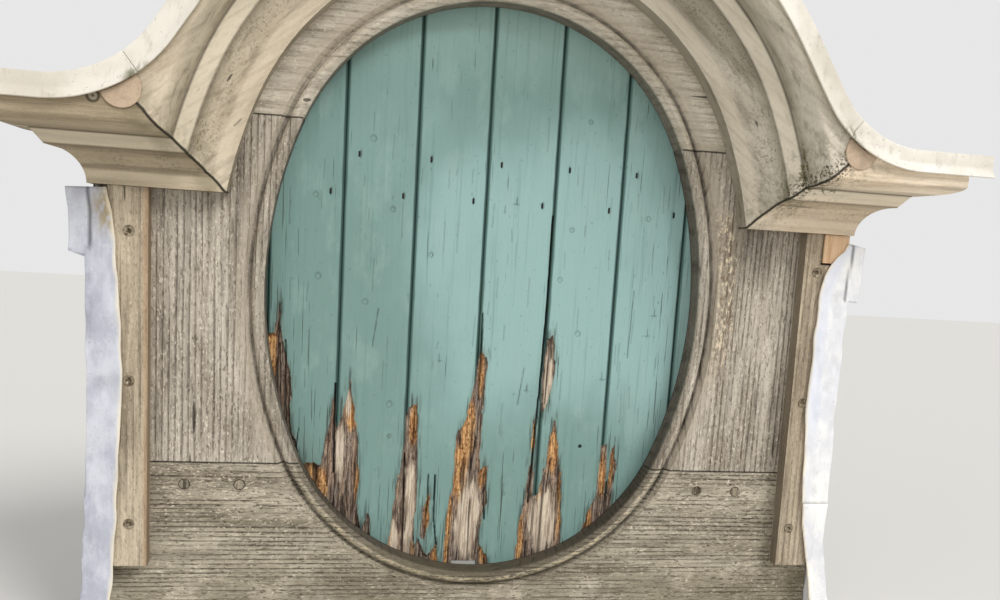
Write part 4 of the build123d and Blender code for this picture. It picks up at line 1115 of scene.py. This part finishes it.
def capping(node, seed, finish):
    """A length of capping with soft dents along its front."""
    bm = cad_copy(node)
    ease_edges(bm, 0.5, 50)
    slice_up(bm, (RIGHT, 14), (UP, 14), (INWARD, 14))
    places = places_of(bm)
    height = places[:, 2] - OVAL_ABOVE_SCREWS
    sunk = crumpled(bm, INWARD, 1.2, (45, 45, 45), seed, lambda at: rise(150, 184, -at[:, 1]))
    moss = np.zeros(len(places))
    for x, z, reach in MOSS_SPOTS:
        away = np.hypot(places[:, 0] - x, height - z)
        moss = np.maximum(moss, fall(reach * 0.3, reach, away))
    piece(bm, node, "sheet", "frame", finish, marks={"sunk": sunk, "moss": moss})


flashing("side_flashing_left", -1, 71)
flashing("side_flashing_right_upper", 1, 74)
flashing("side_flashing_right_lower", 1, 77)

capping_finish = painted_capping("capping_metal")
for node, seed in (("arch_capping", 81), ("return_capping_left", 82), ("return_capping_right", 83)):
    capping(node, seed, capping_finish)


# Small pieces with uneven faces

filler_finish = wood_filler("wood_filler")
softwood_finish = sawn_softwood("new_softwood")
iron_finish = rusted_iron("black_iron", (44, 42, 41), (118, 66, 38))


def worn(node, kind, body, finish, slot, seed, edge, cuts, depth, size, sharper_than=35):
    """A piece shaped from its solid, with eased edges and faces sunk by uneven lumps."""
    bm = cad_copy(node)
    ease_edges(bm, edge, sharper_than)
    slice_up(bm, *cuts)
    normals, places = normals_of(bm), places_of(bm)
    sunk = 0.5 + 0.5 * rough(places, size, seed)
    move_to(bm, places - normals * (sunk * depth)[:, None])
    piece(bm, node, kind, body, finish, marks={"sunk": sunk} if finish == peg_oak else None)


for side in ("left", "right"):
    worn(f"corner_patch_{side}", "filler", "frame", filler_finish, "filler_wood", 91,
         1.0, ((RIGHT, 2.5), (UP, 2.5)), 0.8, (9, 9, 9))
worn("repair_strip_right", "wood", "frame", softwood_finish, "new_softwood", 95,
     0.6, ((RIGHT, 1.5), (UP, 4)), 0.7, (2.5, 9, 30))
worn("frame_pegs", "oak", "frame", peg_oak, "peg_oak", 101,
     0.8, ((RIGHT, 1.6), (UP, 1.6)), 0.9, (2.4, 40, 2.4))


# Screws. The recesses are given as half their width, half their length, and their depth.

CROSS_RECESS, SLOT_RECESS = (0.75, 3.4, 2.2), (0.5, 2.9, 0.9)


def heads(bm, facing, least_radius):
    """The flat faces of screw heads that look along a direction."""
    bm.normal_update()
    facing = Vector(facing)
    return [
        face for face in bm.faces
        if face.normal.dot(facing) > 0.999 and len(face.verts) > 10
        and face.calc_area() > 3.0 * (least_radius * MM) ** 2
    ]


def cut_recess(bm, face, arms, half_width, half_length, depth):
    """Sinks a slot, or a cross of two slots, into a head."""
    centre, outward = face.calc_center_median(), face.normal.copy()
    lines = [(Vector(along), Vector(along).cross(outward)) for along in arms]
    region = [face]
    for along, across in lines:
        for direction, reach in ((along, half_length), (across, half_width)):
            for sign in (-1, 1):
                geom = set(region)
                for part in region:
                    geom.update(part.edges)
                    geom.update(part.verts)
                cut = bmesh.ops.bisect_plane(
                    bm, geom=list(geom), dist=1e-7, plane_no=direction,
                    plane_co=centre + direction * sign * reach * MM)["geom"]
                faces = only(bmesh.types.BMFace, cut)
                region = list({*faces, *(part for part in region if part.is_valid)})
    sunk = []
    for part in region:
        offset = part.calc_center_median() - centre
        if any(abs(offset.dot(along)) < half_length * MM and
               abs(offset.dot(across)) < half_width * MM for along, across in lines):
            sunk.append(part)
    made = bmesh.ops.extrude_face_region(bm, geom=sunk)["geom"]
    bmesh.ops.translate(bm, vec=-outward * depth * MM, verts=only(bmesh.types.BMVert, made))
    bmesh.ops.delete(bm, geom=sunk, context="FACES")


def slot_heads(bm, facing, least_radius, first_angle, turn, rim, rim_sink, arm_count, recess):
    """Cuts a recess into each screw head, each one turned on from the last."""
    for index, face in enumerate(heads(bm, facing, least_radius)):
        angle = first_angle + turn * index
        bmesh.ops.inset_region(bm, faces=[face], thickness=rim * MM, depth=rim_sink * MM)
        arms = (cos(angle), 0, sin(angle)), (-sin(angle), 0, cos(angle))
        cut_recess(bm, face, arms[:arm_count], *recess)


bm = cad_copy("fixing_screws")
slot_heads(
    bm, OUTWARD, least_radius=5, first_angle=0.4, turn=1.1, rim=1.0, rim_sink=-0.35,
    arm_count=2, recess=CROSS_RECESS)
piece(bm, "fixing_screws", "steel", "frame", screw_steel("screw_steel"), smooth=30)

for holder, body in (("strap", "leaf"), ("bolt", "leaf"), ("pintle", "frame"), ("keeper", "frame")):
    bm = cad_copy(f"{holder}_screws")
    slot_heads(
        bm, INWARD, least_radius=3, first_angle=0.3, turn=0.9, rim=1.3, rim_sink=0.35,
        arm_count=1, recess=SLOT_RECESS)
    piece(bm, f"{holder}_screws", "iron", body, iron_finish)


# Ironwork and nails

nail_finish = rusted_iron("nail_iron", (30, 28, 26), (74, 50, 36))
IRONWORK = (
    ("hinge_strap_upper", "leaf", 111), ("hinge_strap_lower", "leaf", 112),
    ("pintle_upper", "frame", 113), ("pintle_lower", "frame", 114), ("keeper", "frame", 115),
    ("bolt_plate", "leaf", 116), ("bolt", "bolt", 117),
)

for node, body, seed in IRONWORK:
    worn(node, "iron", body, iron_finish, "black_iron", seed,
         0.6, ((RIGHT, 9), (UP, 5)), 0.08 if node == "bolt" else 0.25, (14, 14, 14), 50)
worn("leaf_nails", "iron", "leaf", nail_finish, "nail_iron", 121, 0.5, (), 0.15, (3, 9, 3))


# Camera, floor and light

camera_turn = (
    Matrix.Rotation(radians(CAMERA_TURNS[2]), 3, "Z")
    @ Matrix.Rotation(radians(CAMERA_TURNS[1]), 3, "Y")
    @ Matrix.Rotation(radians(CAMERA_TURNS[0]), 3, "X")
    @ Matrix(((1, 0, 0), (0, 0, -1), (0, 1, 0)))
)
# The rows are the picture's right, down and forward directions.
right, down, ahead = camera_turn
camera = bpy.data.objects.new("camera", bpy.data.cameras.new("camera"))
camera.data.lens = camera.data.sensor_width * FOCAL_PIXELS / IMAGE_WIDTH
camera.data.shift_x = (IMAGE_WIDTH / 2 - CENTRE_PIXEL[0]) / IMAGE_WIDTH
camera.data.shift_y = (CENTRE_PIXEL[1] - IMAGE_HEIGHT / 2) / IMAGE_WIDTH
camera.matrix_world = Matrix.Translation(
    spot(CAMERA_SPOT[0], FRAME_FRONT - CAMERA_SPOT[1], CAMERA_SPOT[2])
) @ Matrix((right, -down, -ahead)).transposed().to_4x4()
scene.collection.objects.link(camera)
scene.camera = camera
scene.view_settings.view_transform = "Standard"

FLOOR_COLOUR = (226, 224, 219)
FLOOR_HALF_WIDTH, FLOOR_GAP = 8, 0.0005
AMBIENT, BACKDROP = 0.52, 0.8

floor_finish = Finish("floor", roughness=0.9, specular=0.2)
floor_finish.tone = FLOOR_COLOUR
floor_finish.paint()
bm = bmesh.new()
bmesh.ops.create_grid(bm, x_segments=1, y_segments=1, size=FLOOR_HALF_WIDTH)
bmesh.ops.translate(bm, vec=(0, 0, cad_box[0][2] - FLOOR_GAP), verts=bm.verts)
mesh_object(bm, "floor", floor_finish.material)

# The backdrop is brighter to the eye, and in reflections, than the light that it gives.
scene.world = bpy.data.worlds.new("studio")
studio = Nodes(scene.world)
rays = studio.node("ShaderNodeLightPath").outputs
seen = studio.math("MAXIMUM", rays["Is Glossy Ray"], rays["Is Transmission Ray"])
seen = studio.math("MAXIMUM", rays["Is Camera Ray"], seen)
level = studio.node("ShaderNodeMapRange", {"Value": seen, "To Min": AMBIENT, "To Max": BACKDROP})
backdrop = studio.tree.nodes["Background"].inputs
studio.put(backdrop["Strength"], level.outputs["Result"])
studio.put(backdrop["Color"], (1, 1, 1, 1))


def sun(name, towards, strength, angle):
    """A soft lamp that shines from a direction."""
    lamp = bpy.data.objects.new(name, bpy.data.lights.new(name, "SUN"))
    lamp.data.energy = strength
    lamp.data.angle = radians(angle)
    lamp.rotation_mode = "QUATERNION"
    lamp.rotation_quaternion = Vector(towards).to_track_quat("Z", "Y")
    scene.collection.objects.link(lamp)


sun("key", (0.5, -0.62, 0.72), 1.9, 24)
sun("fill", (-0.6, -0.9, 0.35), 0.5, 60)
